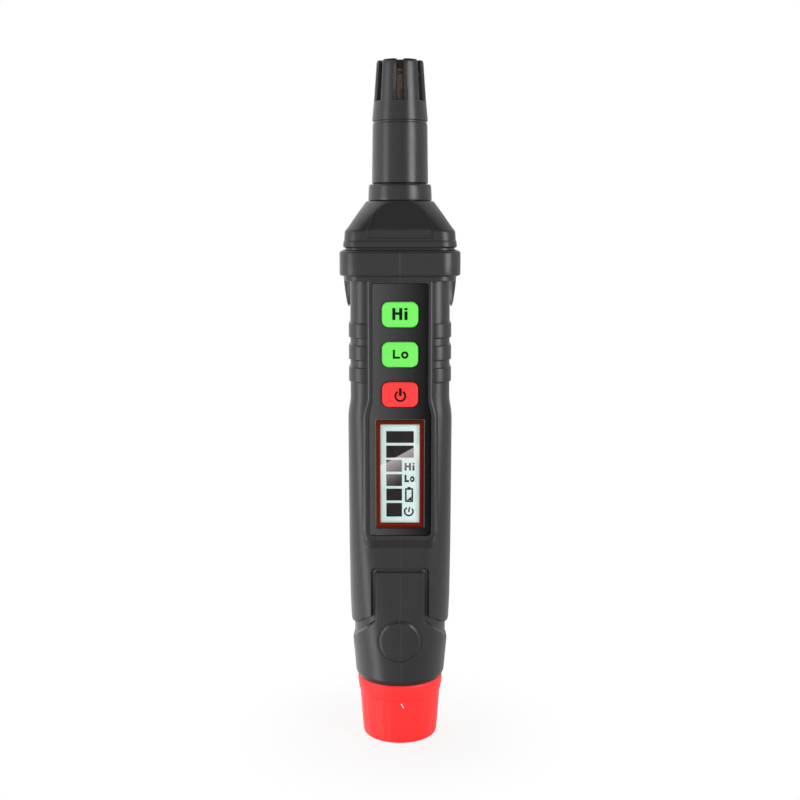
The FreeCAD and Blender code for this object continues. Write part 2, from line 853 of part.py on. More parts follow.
def battery_tube():
    """Inner tube with a pocket for two cells side by side and the thread for the cap."""
    neck, wide = D.tube_neck_radius, D.tube_radius
    core = turned("tube_core", [
        (0, D.tube_bottom),
        (neck, D.tube_bottom, 0.3),
        (neck, 22.1),
        (wide, 22.1),
        (wide, 56.0),
        (12.4, 56.0),
        (12.4, 58.0),
        (wide, 58.0),
        (wide, D.tube_top),
        (0, D.tube_top),
    ])
    thread = feature(
        "tube_thread",
        helical_rib(neck - 0.2, neck + D.thread_height, 1.0, 0.6, 13.5, 1.95, 0),
    )
    depth = 58.25 - 11.0
    half = D.cell_spacing / 2
    pockets = [
        cylinder(f"cell_pocket_{i}", "dims.pocket_radius", depth, (x, 0, 11))
        for i, x in enumerate((-half, half))
    ]
    link = box("pocket_link", (-half, -3.0, 11.0), (half, 3.0, 58.25))
    seat = cylinder("plate_seat", 10.9, 5.0, (0, 0, 58.25))
    notches = [
        box(f"lug_notch_{i}", (-1.6, y - 1.2, 11.0), (1.6, y + 1.2, 14.0))
        for i, y in enumerate((-8.5, 8.5))
    ]
    keep(cut("tube", fuse("tube_solid", core, thread), *pockets, link, seat, *notches), "battery_tube")
    keep(torus("cap_o_ring", 11.95, 0.55, 19.6), "cap_seal")


def cells():
    half = D.cell_spacing / 2
    for label, x, nub_up in (("cell_a", -half, True), ("cell_b", half, False)):
        low = D.cell_bottom
        high = low + D.cell_length
        case_low = low if nub_up else low + 0.8
        nub_low = high - 0.9 if nub_up else low
        case = cylinder(label + "_case", "dims.cell_radius", D.cell_length - 0.8, (x, 0, case_low))
        nub = cylinder(label + "_nub", 1.9, 0.9, (x, 0, nub_low))
        keep(fuse(label + "_solid", case, nub), label)


def contacts():
    half = D.cell_spacing / 2
    plate_top = plate("contact_plate", "XY_Plane", [circle_at(0, 0, 10.8)], 58.3, 1.2)
    keep(plate_top, "top_contact_plate")
    button = cylinder("top_button", 2.4, 1.2, (-half, 0, 57.1))
    coil = cone_coil("top_coil", half, 58.05, 2, 3.4, 2.2, 0.7, 0.22, False)
    keep(group("top_contact_set", button, coil), "top_contacts")
    route = [(5.25, 0, 59.55), (5.0, -0.5, 62.5), (2.5, -3.5, 66.0), (1.6, -5.2, 68.95)]
    wires = [
        wire_path(f"battery_wire_{i}", [(side * x, y, z) for x, y, z in route], 0.5)
        for i, side in enumerate((-1, 1))
    ]
    keep(group("battery_wire_pair", *wires), "battery_wires")
    carrier = plate("carrier_disc", "XY_Plane", [circle_at(0, 0, 11.0)], 8.4, 1.8)
    lugs = [
        box(f"lug_{i}", (-1.4, y - 0.9, 9.0), (1.4, y + 0.9, 13.6))
        for i, y in enumerate((-8.5, 8.5))
    ]
    keep(fuse("carrier", carrier, *lugs), "contact_carrier")
    strap = plate("strap", "XY_Plane", [rounded(8.6, -2.9, 2.9, 2.6)], 10.2, 0.4)
    knob = cylinder("strap_button", 2.2, 2.0, (half, 0, 10.4))
    spring = cone_coil("strap_coil", -half, 10.85, 2, 3.4, 2.2, 1.35, 0.22, True)
    keep(group("bridge_set", fuse("bridge", strap, knob), spring), "bridge_contacts")


def battery_cap():
    """Red screw cap: fluted skirt, rim, inner ledge for the contact carrier and inner thread."""
    blank = turned("cap_blank", [
        (0, 0),
        (11.9, 0, 0.6),
        (12.4, 6.4),
        (12.9, 13.3),
        (13.08, 14.7),
        (13.42, 16.0, 0.8),
        (13.68, 18.2, 0.8),
        (13.62, D.cap_top, 0.3),
        (12.75, D.cap_top),
        (12.75, 18.9),
        (D.cap_bore, 18.9),
        (D.cap_bore, 12.6),
        (11.2, 12.6),
        (11.2, 8.3),
        (9.6, 8.3),
        (9.6, 2.6),
        (0, 2.6),
    ])
    thread = feature(
        "cap_thread",
        helical_rib(D.cap_bore + 0.15, D.cap_bore - D.thread_height, 1.0, 0.6, 13.5, 1.85, 180),
    )
    mark_outline = [(-0.2, 13.9), (1.0, 12.6), (1.5, 11.4), (0.4, 12.6)]
    mark = common(
        "cap_mark",
        front_tool("mark_outline", mark_outline, -20, -12.2),
        tower("mark_skin", [(10.0, 25.5, 25.5, 12.7), (15.0, 26.2, 26.2, 13.0)]),
    )
    count = 18
    flutes = []
    for i in range(count):
        angle = radians(360 * (i + 0.5) / count)
        low, high = 13.5, 14.55
        start = Vector(low * cos(angle), low * sin(angle), -1.0)
        end = Vector(high * cos(angle), high * sin(angle), 14.2)
        axis = end - start
        flutes.append(cylinder(f"flute_{i}", 2.0, axis.Length, tuple(start), tuple(axis)))
    keep(cut("cap_fluted", fuse("cap_solid", blank, thread, mark), *flutes), "battery_cap")


# ---------------------------------------------------------------- build, check and write


def write_parts():
    """Stops on any failed object or bad shape, then writes one STEP file per sub-part."""
    doc.recompute()
    for item in doc.Objects:
        if {"Invalid", "Error"} & set(item.State):
            raise RuntimeError(f"{item.Name} did not build")
    for item in pieces:
        if item.Shape.isNull() or not item.Shape.isValid():
            raise RuntimeError(f"{item.Label} has a bad shape")
    os.makedirs("parts", exist_ok=True)
    for item in pieces:
        item.Shape.exportStep(f"parts/{item.Label}.step")


housing()
shell_screws()
nose_cone()
neck_parts()
vent_cap()
sensor_parts()
face_parts()
keys()
board_parts()
battery_tube()
cells()
contacts()
battery_cap()
write_parts()
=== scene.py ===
# Looks of the pen-type moisture meter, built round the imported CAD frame. Mesh code works in millimetres
# with the frame's axes: origin in the middle of the cap's flat end, +Z to the sensor head, keys facing -Y.

import json
from math import asin, cos, pi, radians, sin, sqrt

import bmesh
import bpy
import numpy as np
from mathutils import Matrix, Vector
from mathutils.geometry import tessellate_polygon

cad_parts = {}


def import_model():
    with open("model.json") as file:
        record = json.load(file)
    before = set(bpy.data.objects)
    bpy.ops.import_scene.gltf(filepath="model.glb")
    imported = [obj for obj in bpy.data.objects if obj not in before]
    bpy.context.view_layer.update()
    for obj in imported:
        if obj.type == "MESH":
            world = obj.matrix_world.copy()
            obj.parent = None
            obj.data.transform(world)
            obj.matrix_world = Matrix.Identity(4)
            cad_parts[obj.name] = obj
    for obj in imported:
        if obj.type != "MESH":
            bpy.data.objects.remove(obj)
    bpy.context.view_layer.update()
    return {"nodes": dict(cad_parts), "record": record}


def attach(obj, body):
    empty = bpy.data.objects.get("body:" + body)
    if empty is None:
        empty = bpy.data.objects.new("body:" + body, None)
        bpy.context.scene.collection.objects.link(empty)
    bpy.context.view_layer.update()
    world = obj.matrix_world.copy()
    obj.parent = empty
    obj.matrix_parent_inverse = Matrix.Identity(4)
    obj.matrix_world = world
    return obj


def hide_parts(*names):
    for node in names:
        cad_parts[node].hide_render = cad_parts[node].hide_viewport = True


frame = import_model()

MM = 0.001
SMOOTH_ANGLE = radians(32)

# ---- sizes shared by several pieces ----

# Raised plinth on the housing's front, and the seat in it that takes the face panel
PLINTH_Y, PLINTH_BOTTOM, PLINTH_CORNER = -15.2, 67.7, 3.4
PLINTH_LOWER, PLINTH_UPPER = 11.05, 9.75
EDGE_CHAMFER = 0.42
SEAT_Y, SEAT_BOTTOM, SEAT_TOP = -13.85, 69.5, 147.35
SEAT_LOWER, SEAT_UPPER = 9.6, 8.6

KEY_CENTRES = {"key_hi": 138.0, "key_lo": 125.9, "key_power": 113.7}
KEY_HALF_X, KEY_HALF_Z, KEY_CORNER = 5.5, 3.85, 2.1
KEY_ROOM = 0.3
SCREW_HEIGHTS = (66.5, 108.0, 143.5)
SCREW_Y, SINK_RADIUS, SINK_FLOOR = 8.0, 2.2, 12.0
RIB_CENTRES = (119.25, 126.05, 132.8)

# Clear part of the display's frame and of the glass, as half width, middle height and half height
BEZEL_CLEAR = (6.0, 88.85, 15.45)
LCD_CLEAR = (6.0, 88.6, 15.4)

# ---- node and material helpers ----


def linear(red, green, blue):
    """Scene-linear colour from sRGB values of 0 to 255."""
    shares = [value / 255 for value in (red, green, blue)]
    return tuple(((c + 0.055) / 1.055) ** 2.4 if c > 10 / 255 else c / 12.92 for c in shares)


def grey(level):
    return (level, level, level)


class Shader:
    """A node tree under construction, for a material or for the world."""

    def __init__(self, name, world=False):
        self.made = (bpy.data.worlds if world else bpy.data.materials).new(name)
        self.made.use_nodes = True
        self.tree = self.made.node_tree
        self.tree.nodes.clear()
        self.output = self.add("ShaderNodeOutputWorld" if world else "ShaderNodeOutputMaterial")

    def add(self, kind, settings=None, **inputs):
        """Node with its settings and inputs; an input's name has _ for each space."""
        node = self.tree.nodes.new(kind)
        for key, value in (settings or {}).items():
            setattr(node, key, value)
        for key, value in inputs.items():
            self.feed(node, key.replace("_", " "), value)
        return node

    def feed(self, node, socket, value):
        target = node.inputs[socket]
        if isinstance(value, bpy.types.NodeSocket):
            self.tree.links.new(value, target)
        elif isinstance(value, tuple) and len(value) == 3 and target.type == "RGBA":
            target.default_value = (*value, 1.0)
        else:
            target.default_value = value

    def fed(self, kind, settings, inputs):
        """Outputs of a node whose inputs are given by number."""
        node = self.add(kind, settings)
        for number, value in inputs.items():
            self.feed(node, number, value)
        return node.outputs

    def math(self, operation, first, second=0.0):
        return self.fed("ShaderNodeMath", {"operation": operation}, {0: first, 1: second})[0]

    def product(self, first, *others):
        for other in others:
            first = self.math("MULTIPLY", first, other)
        return first

    def coordinates(self):
        return self.add("ShaderNodeTexCoord").outputs["Object"]

    def axis(self, name):
        """One object coordinate in millimetres."""
        split = self.add("ShaderNodeSeparateXYZ", Vector=self.coordinates())
        return self.product(split.outputs[name], 1 / MM)

    def away(self, name, middle=0.0):
        """Distance in millimetres from a middle plane across one axis."""
        place = self.axis(name)
        return self.math("ABSOLUTE", self.math("SUBTRACT", place, middle) if middle else place)

    def noise(self, cell_mm, detail=2.0, stretch=(1, 1, 1)):
        """Noise value with cells of about the given size."""
        mapping = self.add("ShaderNodeMapping", Vector=self.coordinates())
        mapping.inputs["Scale"].default_value = tuple(1 / (cell_mm * MM * s) for s in stretch)
        node = self.add("ShaderNodeTexNoise", Vector=mapping.outputs[0], Scale=1.0, Detail=detail)
        return node.outputs["Fac"]

    def ramp(self, value, low, high, out_low=0.0, out_high=1.0, kind="LINEAR"):
        inputs = {0: value, 1: low, 2: high, 3: out_low, 4: out_high}
        return self.fed("ShaderNodeMapRange", {"interpolation_type": kind}, inputs)[0]

    def smooth_ramp(self, value, low, high, out_low=0.0, out_high=1.0):
        return self.ramp(value, low, high, out_low, out_high, "SMOOTHSTEP")

    def blend(self, factor, first, second):
        return self.fed("ShaderNodeMix", {"data_type": "RGBA"}, {0: factor, 6: first, 7: second})[2]

    def mixed(self, factor, first, second):
        """One surface or background fading into another."""
        return self.fed("ShaderNodeMixShader", {}, {0: factor, 1: first, 2: second})[0]

    def varied(self, colour, amount, cell_mm):
        """Colour that drifts a little lighter and darker."""
        light = tuple(min(1.0, c * (1 + amount)) for c in colour)
        dark = tuple(c * (1 - amount) for c in colour)
        return self.blend(self.noise(cell_mm), dark, light)

    def softened(self, radius_mm):
        """Normal that rounds the edges off."""
        return self.add("ShaderNodeBevel", {"samples": 6}, Radius=radius_mm * MM).outputs[0]

    def bumped(self, height, strength, distance_mm, normal=None):
        """Normal with a fine relief, on top of another normal if there is one."""
        node = self.add("ShaderNodeBump", Height=height, Strength=strength, Distance=distance_mm * MM)
        if normal:
            self.feed(node, "Normal", normal)
        return node.outputs[0]

    def principled(self, **inputs):
        """Finish with the standard surface."""
        return self.finish(self.add("ShaderNodeBsdfPrincipled", **inputs).outputs[0])

    def finish(self, result):
        self.tree.links.new(result, self.output.inputs["Surface"])
        return self.made


# ---- materials ----


def surface(name, colour, roughness, grain=0.25, cell=0.35, edge=0.12, drift=0.05, metal=0.0,
            coat=0.0, specular=0.5, stretch=(1, 1, 1)):
    """Plastic or metal with moulding grain, colour drift, uneven roughness and softened edges."""
    s = Shader(name)
    tint = s.varied(linear(*colour), drift, 14.0)
    rough = s.ramp(s.noise(5.0), 0.3, 0.7, roughness * 0.93, min(1.0, roughness * 1.07))
    normal = s.bumped(s.noise(cell, 3.0, stretch), grain, 0.03, s.softened(edge) if edge else None)
    return s.principled(Base_Color=tint, Roughness=rough, Metallic=metal, Normal=normal, Coat_Weight=coat,
                        Coat_Roughness=0.12, Specular_IOR_Level=specular)


def panel_material():
    """Glossy dark panel with painted light: lighter towards its left edge, where the left lamps fall, and
    near black on the right.
    """
    s = Shader("panel_gloss")
    across = s.ramp(s.axis("X"), -9.0, 9.0)
    # Painted light: the colour runs from lit grey at the left edge to near black at the right
    tint = s.blend(across, linear(72, 72, 73), linear(5, 5, 5))
    tint = s.blend(s.ramp(s.noise(0.4, 3.0), 0.35, 0.75, 0.0, 0.08), tint, linear(60, 60, 61))
    normal = s.bumped(s.noise(6.0), 0.1, 0.04, s.softened(0.1))
    rough = s.ramp(s.noise(3.0), 0.3, 0.7, 0.22, 0.28)
    return s.principled(Base_Color=tint, Roughness=rough, Normal=normal, Specular_IOR_Level=0.12)


def bezel_material():
    """Translucent dark red frame with painted light and shade: brown outside, lighter red along its inner
    edge, and lighter outside towards the left.
    """
    half_x, middle_z, half_z = BEZEL_CLEAR
    s = Shader("bezel_red")
    past_x = s.math("SUBTRACT", s.away("X"), half_x)
    past_z = s.math("SUBTRACT", s.away("Z", middle_z), half_z)
    from_opening = s.math("MAXIMUM", past_x, past_z)
    across = s.ramp(s.axis("X"), -7.0, 7.0)
    # Painted light: the outside is lighter on the left, where the left lamps fall
    outer = s.blend(across, linear(78, 24, 1), linear(64, 15, 1))
    inner = s.blend(across, linear(112, 22, 2), linear(116, 16, 2))
    # Painted light and shade: lighter red along the inner edge, darker brown away from it
    tint = s.blend(s.smooth_ramp(from_opening, 1.0, 0.15), outer, inner)
    tint = s.blend(s.ramp(s.noise(1.2, 3.0), 0.3, 0.7, 0.0, 0.12), tint, linear(110, 20, 8))
    return s.principled(Base_Color=tint, Roughness=0.35, Normal=s.softened(0.12), Specular_IOR_Level=0.08)


def lcd_material():
    """Pale reflective display glass with a faint weave, a painted shadow that makes it greyer along its
    border, and a painted glow.
    """
    half_x, middle_z, half_z = LCD_CLEAR
    s = Shader("lcd_pale")
    tint = s.blend(s.noise(3.0), linear(205, 232, 228), linear(226, 246, 242))
    weave = s.product(s.math("SINE", s.product(s.axis("Z"), 26.0)), 0.5)
    tint = s.blend(s.ramp(weave, -0.5, 0.5, 0.0, 0.05), tint, linear(190, 220, 214))
    # Painted shadow: the glass turns greyer along its border, where the recess shades it
    near_side = s.ramp(s.away("X"), half_x - 0.5, half_x)
    near_end = s.ramp(s.away("Z", middle_z), half_z - 0.6, half_z)
    painted_edge_shadow = s.product(s.math("MAXIMUM", near_side, near_end), 0.4)
    tint = s.blend(painted_edge_shadow, tint, linear(132, 160, 160))
    # Painted glow: the glass gives off light in its own colour
    return s.principled(Base_Color=tint, Roughness=0.5, Emission_Color=tint, Emission_Strength=0.42,
                        Specular_IOR_Level=0.2)


def window_material():
    """Clear cover with a painted milky slanting reflection that fades downwards."""
    s = Shader("window_clear")
    # Painted reflection: a glowing milky band above a slanting line, fading downwards
    rise = s.math("SUBTRACT", s.axis("Z"), 94.75)
    above_slant = s.math("SUBTRACT", rise, s.product(s.axis("X"), 0.56))
    band = s.smooth_ramp(above_slant, 0.12, -0.12)
    fade = s.math("POWER", s.ramp(above_slant, -10.0, 0.0), 1.7)
    reflection_share = s.product(band, fade, 0.26)
    reflection_share = s.math("ADD", reflection_share, s.ramp(s.noise(2.0), 0.3, 0.7, 0.0, 0.004))
    clear = s.add("ShaderNodeBsdfTransparent")
    painted_reflection = s.add("ShaderNodeEmission", Color=linear(250, 240, 242), Strength=0.95)
    gloss = s.add("ShaderNodeBsdfGlossy", Roughness=0.06, Color=grey(0.35))
    with_reflection = s.mixed(reflection_share, clear.outputs[0], painted_reflection.outputs[0])
    facing = s.add("ShaderNodeFresnel", IOR=1.35)
    return s.finish(s.mixed(facing.outputs[0], with_reflection, gloss.outputs[0]))


def board_material():
    """Green circuit board with faint traces."""
    s = Shader("board_green")
    tracks = s.math("GREATER_THAN", s.math("SINE", s.product(s.axis("X"), 5.0)), 0.55)
    tint = s.blend(s.product(tracks, 0.5), linear(18, 84, 46), linear(60, 128, 72))
    tint = s.blend(s.ramp(s.noise(2.0), 0.3, 0.7, 0.0, 0.3), tint, linear(12, 66, 38))
    return s.principled(Base_Color=tint, Roughness=0.35)


def filter_material():
    """Brown sintered filter with visible grains."""
    s = Shader("filter_sinter")
    grains = s.noise(0.45, 4.0)
    tint = s.blend(s.ramp(grains, 0.35, 0.65), linear(62, 50, 42), linear(112, 94, 80))
    return s.principled(Base_Color=tint, Roughness=0.8, Normal=s.bumped(grains, 0.9, 0.12))


HOUSING = surface("housing_plastic", (40, 39, 40), 0.34, grain=0.3, cell=0.3, edge=0.15, drift=0.06)
NOSE = surface("nose_plastic", (38, 37, 38), 0.36, grain=0.3, cell=0.3, edge=0.15)
NECK = surface("neck_plastic", (38, 37, 38), 0.3, grain=0.2, cell=0.3, edge=0.1)
LEGEND = surface("legend_dark", (20, 13, 14), 0.5, grain=0.2, edge=0, specular=0.15)
# Painted highlight: white for the glint on the battery cap's front
PAINTED_GLINT = surface("painted_glint_white", (250, 246, 242), 0.5, grain=0.2, edge=0.05)
SEGMENT = surface("lcd_segment", (46, 34, 36), 0.45, grain=0.1, edge=0, drift=0.03, specular=0.15)
SLOT_MATERIALS = {
    "housing_plastic": HOUSING,
    "panel_plastic": panel_material(),
    "key_green": surface("key_green", (108, 226, 90), 0.45, 0.2, edge=0.2, drift=0.04, specular=0.3),
    "key_red": surface("key_red", (247, 52, 52), 0.45, 0.2, edge=0.2, drift=0.04, specular=0.3),
    "cap_red": surface("cap_red", (250, 42, 42), 0.48, cell=0.5, edge=0.15, drift=0.03, specular=0.4),
    "bezel_red": bezel_material(),
    "clear_window": window_material(),
    "lcd": lcd_material(),
    "white_plastic": surface("white_plastic", (226, 224, 216), 0.45),
    "light_guide": surface("light_guide", (235, 238, 240), 0.25, coat=0.3),
    "elastomer": surface("elastomer", (196, 120, 130), 0.6, stretch=(1, 1, 0.2)),
    "seal_rubber": surface("seal_rubber", (24, 24, 24), 0.6, edge=0.05),
    "board_green": board_material(),
    "chip_black": surface("chip_black", (28, 28, 30), 0.5),
    "part_grey": surface("part_grey", (130, 128, 122), 0.4, metal=0.3),
    "sensor_filter": filter_material(),
    "sensor_steel": surface("sensor_steel", (170, 170, 172), 0.3, metal=1.0, stretch=(1, 1, 8)),
    "nickel": surface("nickel", (206, 200, 188), 0.28, metal=1.0),
    "wire_red": surface("wire_red", (190, 30, 26), 0.45),
    "screw_steel": surface("screw_steel", (150, 150, 154), 0.32, metal=1.0, edge=0.08),
    "cell_jacket": surface("cell_jacket", (60, 84, 120), 0.3, coat=0.4),
    "inner_plastic": surface("inner_plastic", (52, 52, 56), 0.5),
}

# ---- mesh helpers ----


def add_piece(name, mesh_parts, slot, body="housing", replaces=(), material=None, angle=SMOOTH_ANGLE):
    """Closed mesh in millimetres as a piece on a CAD body, in its slot's material or a given one."""
    points, faces = mesh_parts
    mesh = bpy.data.meshes.new(name)
    mesh.from_pydata([tuple(p) for p in (np.asarray(points) * MM).tolist()], [], [tuple(f) for f in faces])
    work = bmesh.new()
    work.from_mesh(mesh)
    bmesh.ops.remove_doubles(work, verts=work.verts, dist=0.002 * MM)
    bmesh.ops.dissolve_degenerate(work, dist=0.001 * MM, edges=work.edges)
    bmesh.ops.recalc_face_normals(work, faces=work.faces)
    work.to_mesh(mesh)
    work.free()
    mesh.shade_smooth()
    mesh.set_sharp_from_angle(angle=angle)
    mesh.materials.append(material or SLOT_MATERIALS[slot])
    piece = bpy.data.objects.new(name, mesh)
    bpy.context.scene.collection.objects.link(piece)
    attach(piece, body)
    if replaces:
        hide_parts(*replaces)


def skin(node, mesh_parts, slot, **options):
    """Piece that stands in for the CAD node of the same name."""
    add_piece(node + "_skin", mesh_parts, slot, replaces=(node,), **options)


def ring_faces(rows, columns):
    """Quads of a ring-shaped grid that closes both ways, numbered row by row."""
    faces = []
    for i in range(rows):
        below, above = i * columns, (i + 1) % rows * columns
        for j in range(columns):
            k = (j + 1) % columns
            faces.append((below + j, below + k, above + k, above + j))
    return faces


def shell_faces(keep, columns, wrap=False):
    """Faces of a closed shell between an outer and an equal inner grid, open where keep is False."""
    inner = (keep.shape[0] + 1) * columns
    around = np.pad(keep, ((1, 1), (0, 0)))
    around = np.pad(around, ((0, 0), (1, 1)), mode="wrap" if wrap else "constant")
    faces = []
    for i, j in np.argwhere(keep).tolist():
        a, b = i * columns + j, i * columns + (j + 1) % columns
        c, d = b + columns, a + columns
        faces += [(a, b, c, d), (inner + d, inner + c, inner + b, inner + a)]
        neighbours = around[i, j + 1], around[i + 2, j + 1], around[i + 1, j], around[i + 1, j + 2]
        for neighbour, (start, end) in zip(neighbours, ((b, a), (d, c), (a, d), (c, b))):
            if not neighbour:
                faces.append((start, end, inner + end, inner + start))
    return faces


def turned(profile, segments=96):
    """Mesh turned about the long axis from a closed loop of (radius, height) corners."""
    angles = [2 * pi * k / segments for k in range(segments)]
    points = [(radius * sin(a), -radius * cos(a), height) for radius, height in profile for a in angles]
    return points, ring_faces(len(profile), segments)


def arc(cx, cz, radius, start, end, steps):
    """Points on an arc, angles in degrees from +X."""
    angles = [radians(start + (end - start) * k / steps) for k in range(steps + 1)]
    return [(cx + radius * cos(a), cz + radius * sin(a)) for a in angles]


def rounded_loop(half_x, low, high, corner):
    """Counter-clockwise rounded rectangle as (x, z) points."""
    right, bottom, top = half_x - corner, low + corner, high - corner
    points = []
    for k, (x, z) in enumerate(((right, bottom), (right, top), (-right, top), (-right, bottom))):
        points += arc(x, z, corner, 90 * k - 90, 90 * k, 8)
    return points


def inset_loop(loop, distance):
    """Loop moved towards its left by a distance, corner by corner."""
    moved = []
    count = len(loop)
    for k in range(count):
        before, here, after = (Vector(loop[(k + s) % count]) for s in (-1, 0, 1))
        one, two = (here - before), (after - here)
        one = Vector((-one.y, one.x)).normalized()
        two = Vector((-two.y, two.x)).normalized()
        total = one + two
        scale = 1 / max(0.3, 1 + one.dot(two))
        moved.append((here.x + total.x * scale * distance, here.y + total.y * scale * distance))
    return moved


def slab(loops, front, back, bevel=0.0, steps=3):
    """Points and faces of a flat slab facing -Y; the first loop is its outline, the others are holes."""
    levels = [(back, 0.0)]
    if bevel:
        for k in range(steps + 1):
            angle = pi / 2 * k / steps
            levels.append((front + bevel * (1 - sin(angle)), bevel * (1 - cos(angle))))
    else:
        levels.append((front, 0.0))
    oriented = [loops[0]] + [list(reversed(loop)) for loop in loops[1:]]
    points, faces, rims = [], [], {0: [], len(levels) - 1: []}
    for loop in oriented:
        count = len(loop)
        for level, (y, inset) in enumerate(levels):
            ring = inset_loop(loop, inset) if inset else loop
            start = len(points)
            points += [(x, y, z) for x, z in ring]
            if level in rims:
                rims[level].append(range(start, start + count))
            if level:
                for k in range(count):
                    n = (k + 1) % count
                    faces.append((start - count + k, start - count + n, start + n, start + k))
    for rings in rims.values():
        order = [i for ring in rings for i in ring]
        outline = [[Vector((points[i][0], points[i][2], 0)) for i in ring] for ring in rings]
        faces += [tuple(order[i] for i in triangle) for triangle in tessellate_polygon(outline)]
    return points, faces


def merged(*parts):
    """Several point and face lists as one."""
    points, faces = [], []
    for part_points, part_faces in parts:
        base = len(points)
        points += list(part_points)
        faces += [tuple(base + i for i in face) for face in part_faces]
    return points, faces


# ---- housing ----

# Sections of the housing: height, width, depth, corner radius
BODY = [
    (36, 29.9, 27, 12.5), (39.2, 31.2, 28, 12.5), (47, 31.8, 28, 11.5), (64, 32.1, 28, 9.5),
    (77, 32.1, 28, 8), (105.6, 32.2, 28, 6.8), (107.8, 31.9, 28, 6.5), (111.5, 30.6, 28, 6),
    (149, 30.5, 28, 6),
]
BOOT = [
    (20.3, 27.2, 27.2, 13.5), (20.8, 28.1, 27.9, 13.85), (21.5, 28.6, 28.4, 14.1), (27, 29.5, 28.7, 14.1),
    (31.8, 30.3, 28.8, 13.6), (42, 31.3, 28.5, 12.6), (58.5, 32, 28.3, 10.5),
]
CORE = [(22, 26, 25.6, 12.7), (34.5, 29.2, 27, 13.2), (45, 29.3, 27.2, 12), (60, 29.6, 27.3, 10)]
HOLLOW = [
    (20.3, 22.6, 22.6, 11.29), (22.05, 22.6, 22.6, 11.29), (22.15, 23.4, 23.4, 11.69),
    (61.9, 23.4, 23.4, 11.69), (62.1, 26.6, 24, 7), (105, 26.5, 24, 4.5), (149, 26.5, 24, 4.5),
    (151, 31.4, 27.4, 5.2), (157, 31.4, 27.4, 5.2),
]
# What the collar and one grip rib add to the body
COLLAR = [
    (147.89, 0, 0, 0), (147.91, 3.2, 2.3, 0), (148.05, 3.5, 2.6, 0), (149.39, 3.5, 2.6, 0),
    (149.41, 4.9, 4.3, 0.2), (149.55, 5.6, 5, 0.4), (149.75, 6, 5.4, 0.6), (150.1, 6.2, 5.6, 0.7),
    (156.2, 6.2, 5.6, 0.7), (156.55, 6, 5.4, 0.6), (156.8, 5.55, 4.95, 0.4), (157, 4.9, 4.3, 0.1),
]
RIB_SHAPE = (
    (-2.35, 0), (-2.3, 0.15), (-2.1, 0.44), (-1.9, 0.49), (1.9, 0.49), (2.1, 0.44), (2.3, 0.15), (2.35, 0),
)
# Share of the rib's height that goes into width, depth and corner radius
RIB_SHARES = (2.0, 0.8, 0.25)

# Tail: the body ends in an arch, the boot starts below it, and the boot's tongue runs up the front. A tongue
# is half width, top and corner; an arch is distances from the middle plane and the heights there.
GAP_TONGUE = (8.9, 58.5, 1.3)
BOOT_TONGUE = (7.95, 57.6, 0.8)
TONGUE_END = 60.0
BODY_ARCH = ((0, 8.9, 11.6, 13.9, 15.4, 20), (42.6, 42.6, 41.2, 39.1, 38.8, 38.8))
BOOT_ARCH = ((0, 8.0, 13.3, 14.9, 20), (41.3, 41.3, 36.0, 32.4, 32.4))
ARCH_SLOPE = 0.85
DISC_Z, DISC_RADIUS, DISC_RISE = 34.8, 6.25, 0.3
DISC_LINE, LINE_DEPTH, LINE_HALF = 6.75, 0.22, 0.17
SEAM_HALF, SEAM_DEPTH = 0.16, 0.06

# Plinth: heights between which its sides step in, and how far its flanks run out per unit of depth
PLINTH_JOG, SEAT_JOG = (107.4, 111.9), (107.5, 111.5)
PLINTH_START, PLINTH_END, COLLAR_BOTTOM = 61.5, 148.95, 149.5
SIDE_RUN, BOTTOM_RUN = 0.375, 2.44
PLAIN_FOOT = 12.2
SEAT_CORNERS = (1.1, 0.7)
FRONT_Y = -9.0
OPENING_HALF, OPENING_LOW, OPENING_HIGH = 7.9, 71.4, 106.3


def stations(low, high, step):
    """Even heights about a step apart."""
    return np.linspace(low, high, max(1, int(round((high - low) / step))) + 1)


def section(table, z, spread=0.0):
    """Width, depth and corner radius at heights z, softened over a spread."""
    keys, *columns = zip(*table)
    shifts = (-1, -0.5, 0, 0.5, 1) if spread else (0,)
    return [np.mean([np.interp(z + spread * k, keys, column) for k in shifts], axis=0) for column in columns]


def section_point(width, depth, corner, s):
    """Point and outward normal at distance s along the right half of a section, from front to rear."""
    flat = width / 2 - corner
    side_start = flat + corner * pi / 2
    side_end = side_start + depth - 2 * corner
    first = np.clip((s - flat) / corner, 0, pi / 2)
    second = np.clip((s - side_end) / corner, 0, pi / 2)
    rear = np.clip(s - side_end - corner * pi / 2, 0, None)
    x = np.minimum(s, flat) + corner * np.sin(first) - corner * (1 - np.cos(second)) - rear
    y = -depth / 2 + corner * (1 - np.cos(first)) + corner * np.sin(second)
    y = y + np.clip(s - side_start, 0, depth - 2 * corner)
    angle = first + second
    return x, y, np.sin(angle), -np.cos(angle)


def distance_at_x(width, corner, x):
    """Distance along the section to a place on its front with the given x."""
    flat = width / 2 - corner
    past = np.clip((x - flat) / corner, 0, 1)
    return np.where(x <= flat, x, flat + corner * np.arcsin(past))


def distance_at_y(width, depth, corner, y):
    """Distance along the section to a place on its side with the given y."""
    flat = width / 2 - corner
    side_start = flat + corner * pi / 2
    front = flat + corner * np.arccos(np.clip(1 - (y + depth / 2) / corner, -1, 1))
    middle = side_start + y + depth / 2 - corner
    rear_start = depth / 2 - corner
    rear = side_start + depth - 2 * corner + corner * np.arcsin(np.clip((y - rear_start) / corner, -1, 1))
    return np.where(y < -rear_start, front, np.where(y <= rear_start, middle, rear))


def half_width(z, lower, upper, jog):
    """Half width of the plinth or of the panel seat, wide below the jog and narrow above it."""
    ease = 0.11 * (lower - upper)
    heights = (jog[0] - 0.6, jog[0] + 0.5, jog[1] - 0.5, jog[1] + 0.6)
    return np.interp(z, heights, (lower, lower - ease, upper + ease, upper))


def corner_cut(distance, radius):
    """How far a rounded corner pulls an edge in, at a distance from the end of that edge."""
    inside = np.clip(radius - distance, 0, radius)
    return radius - np.sqrt(np.maximum(radius**2 - inside**2, 0))


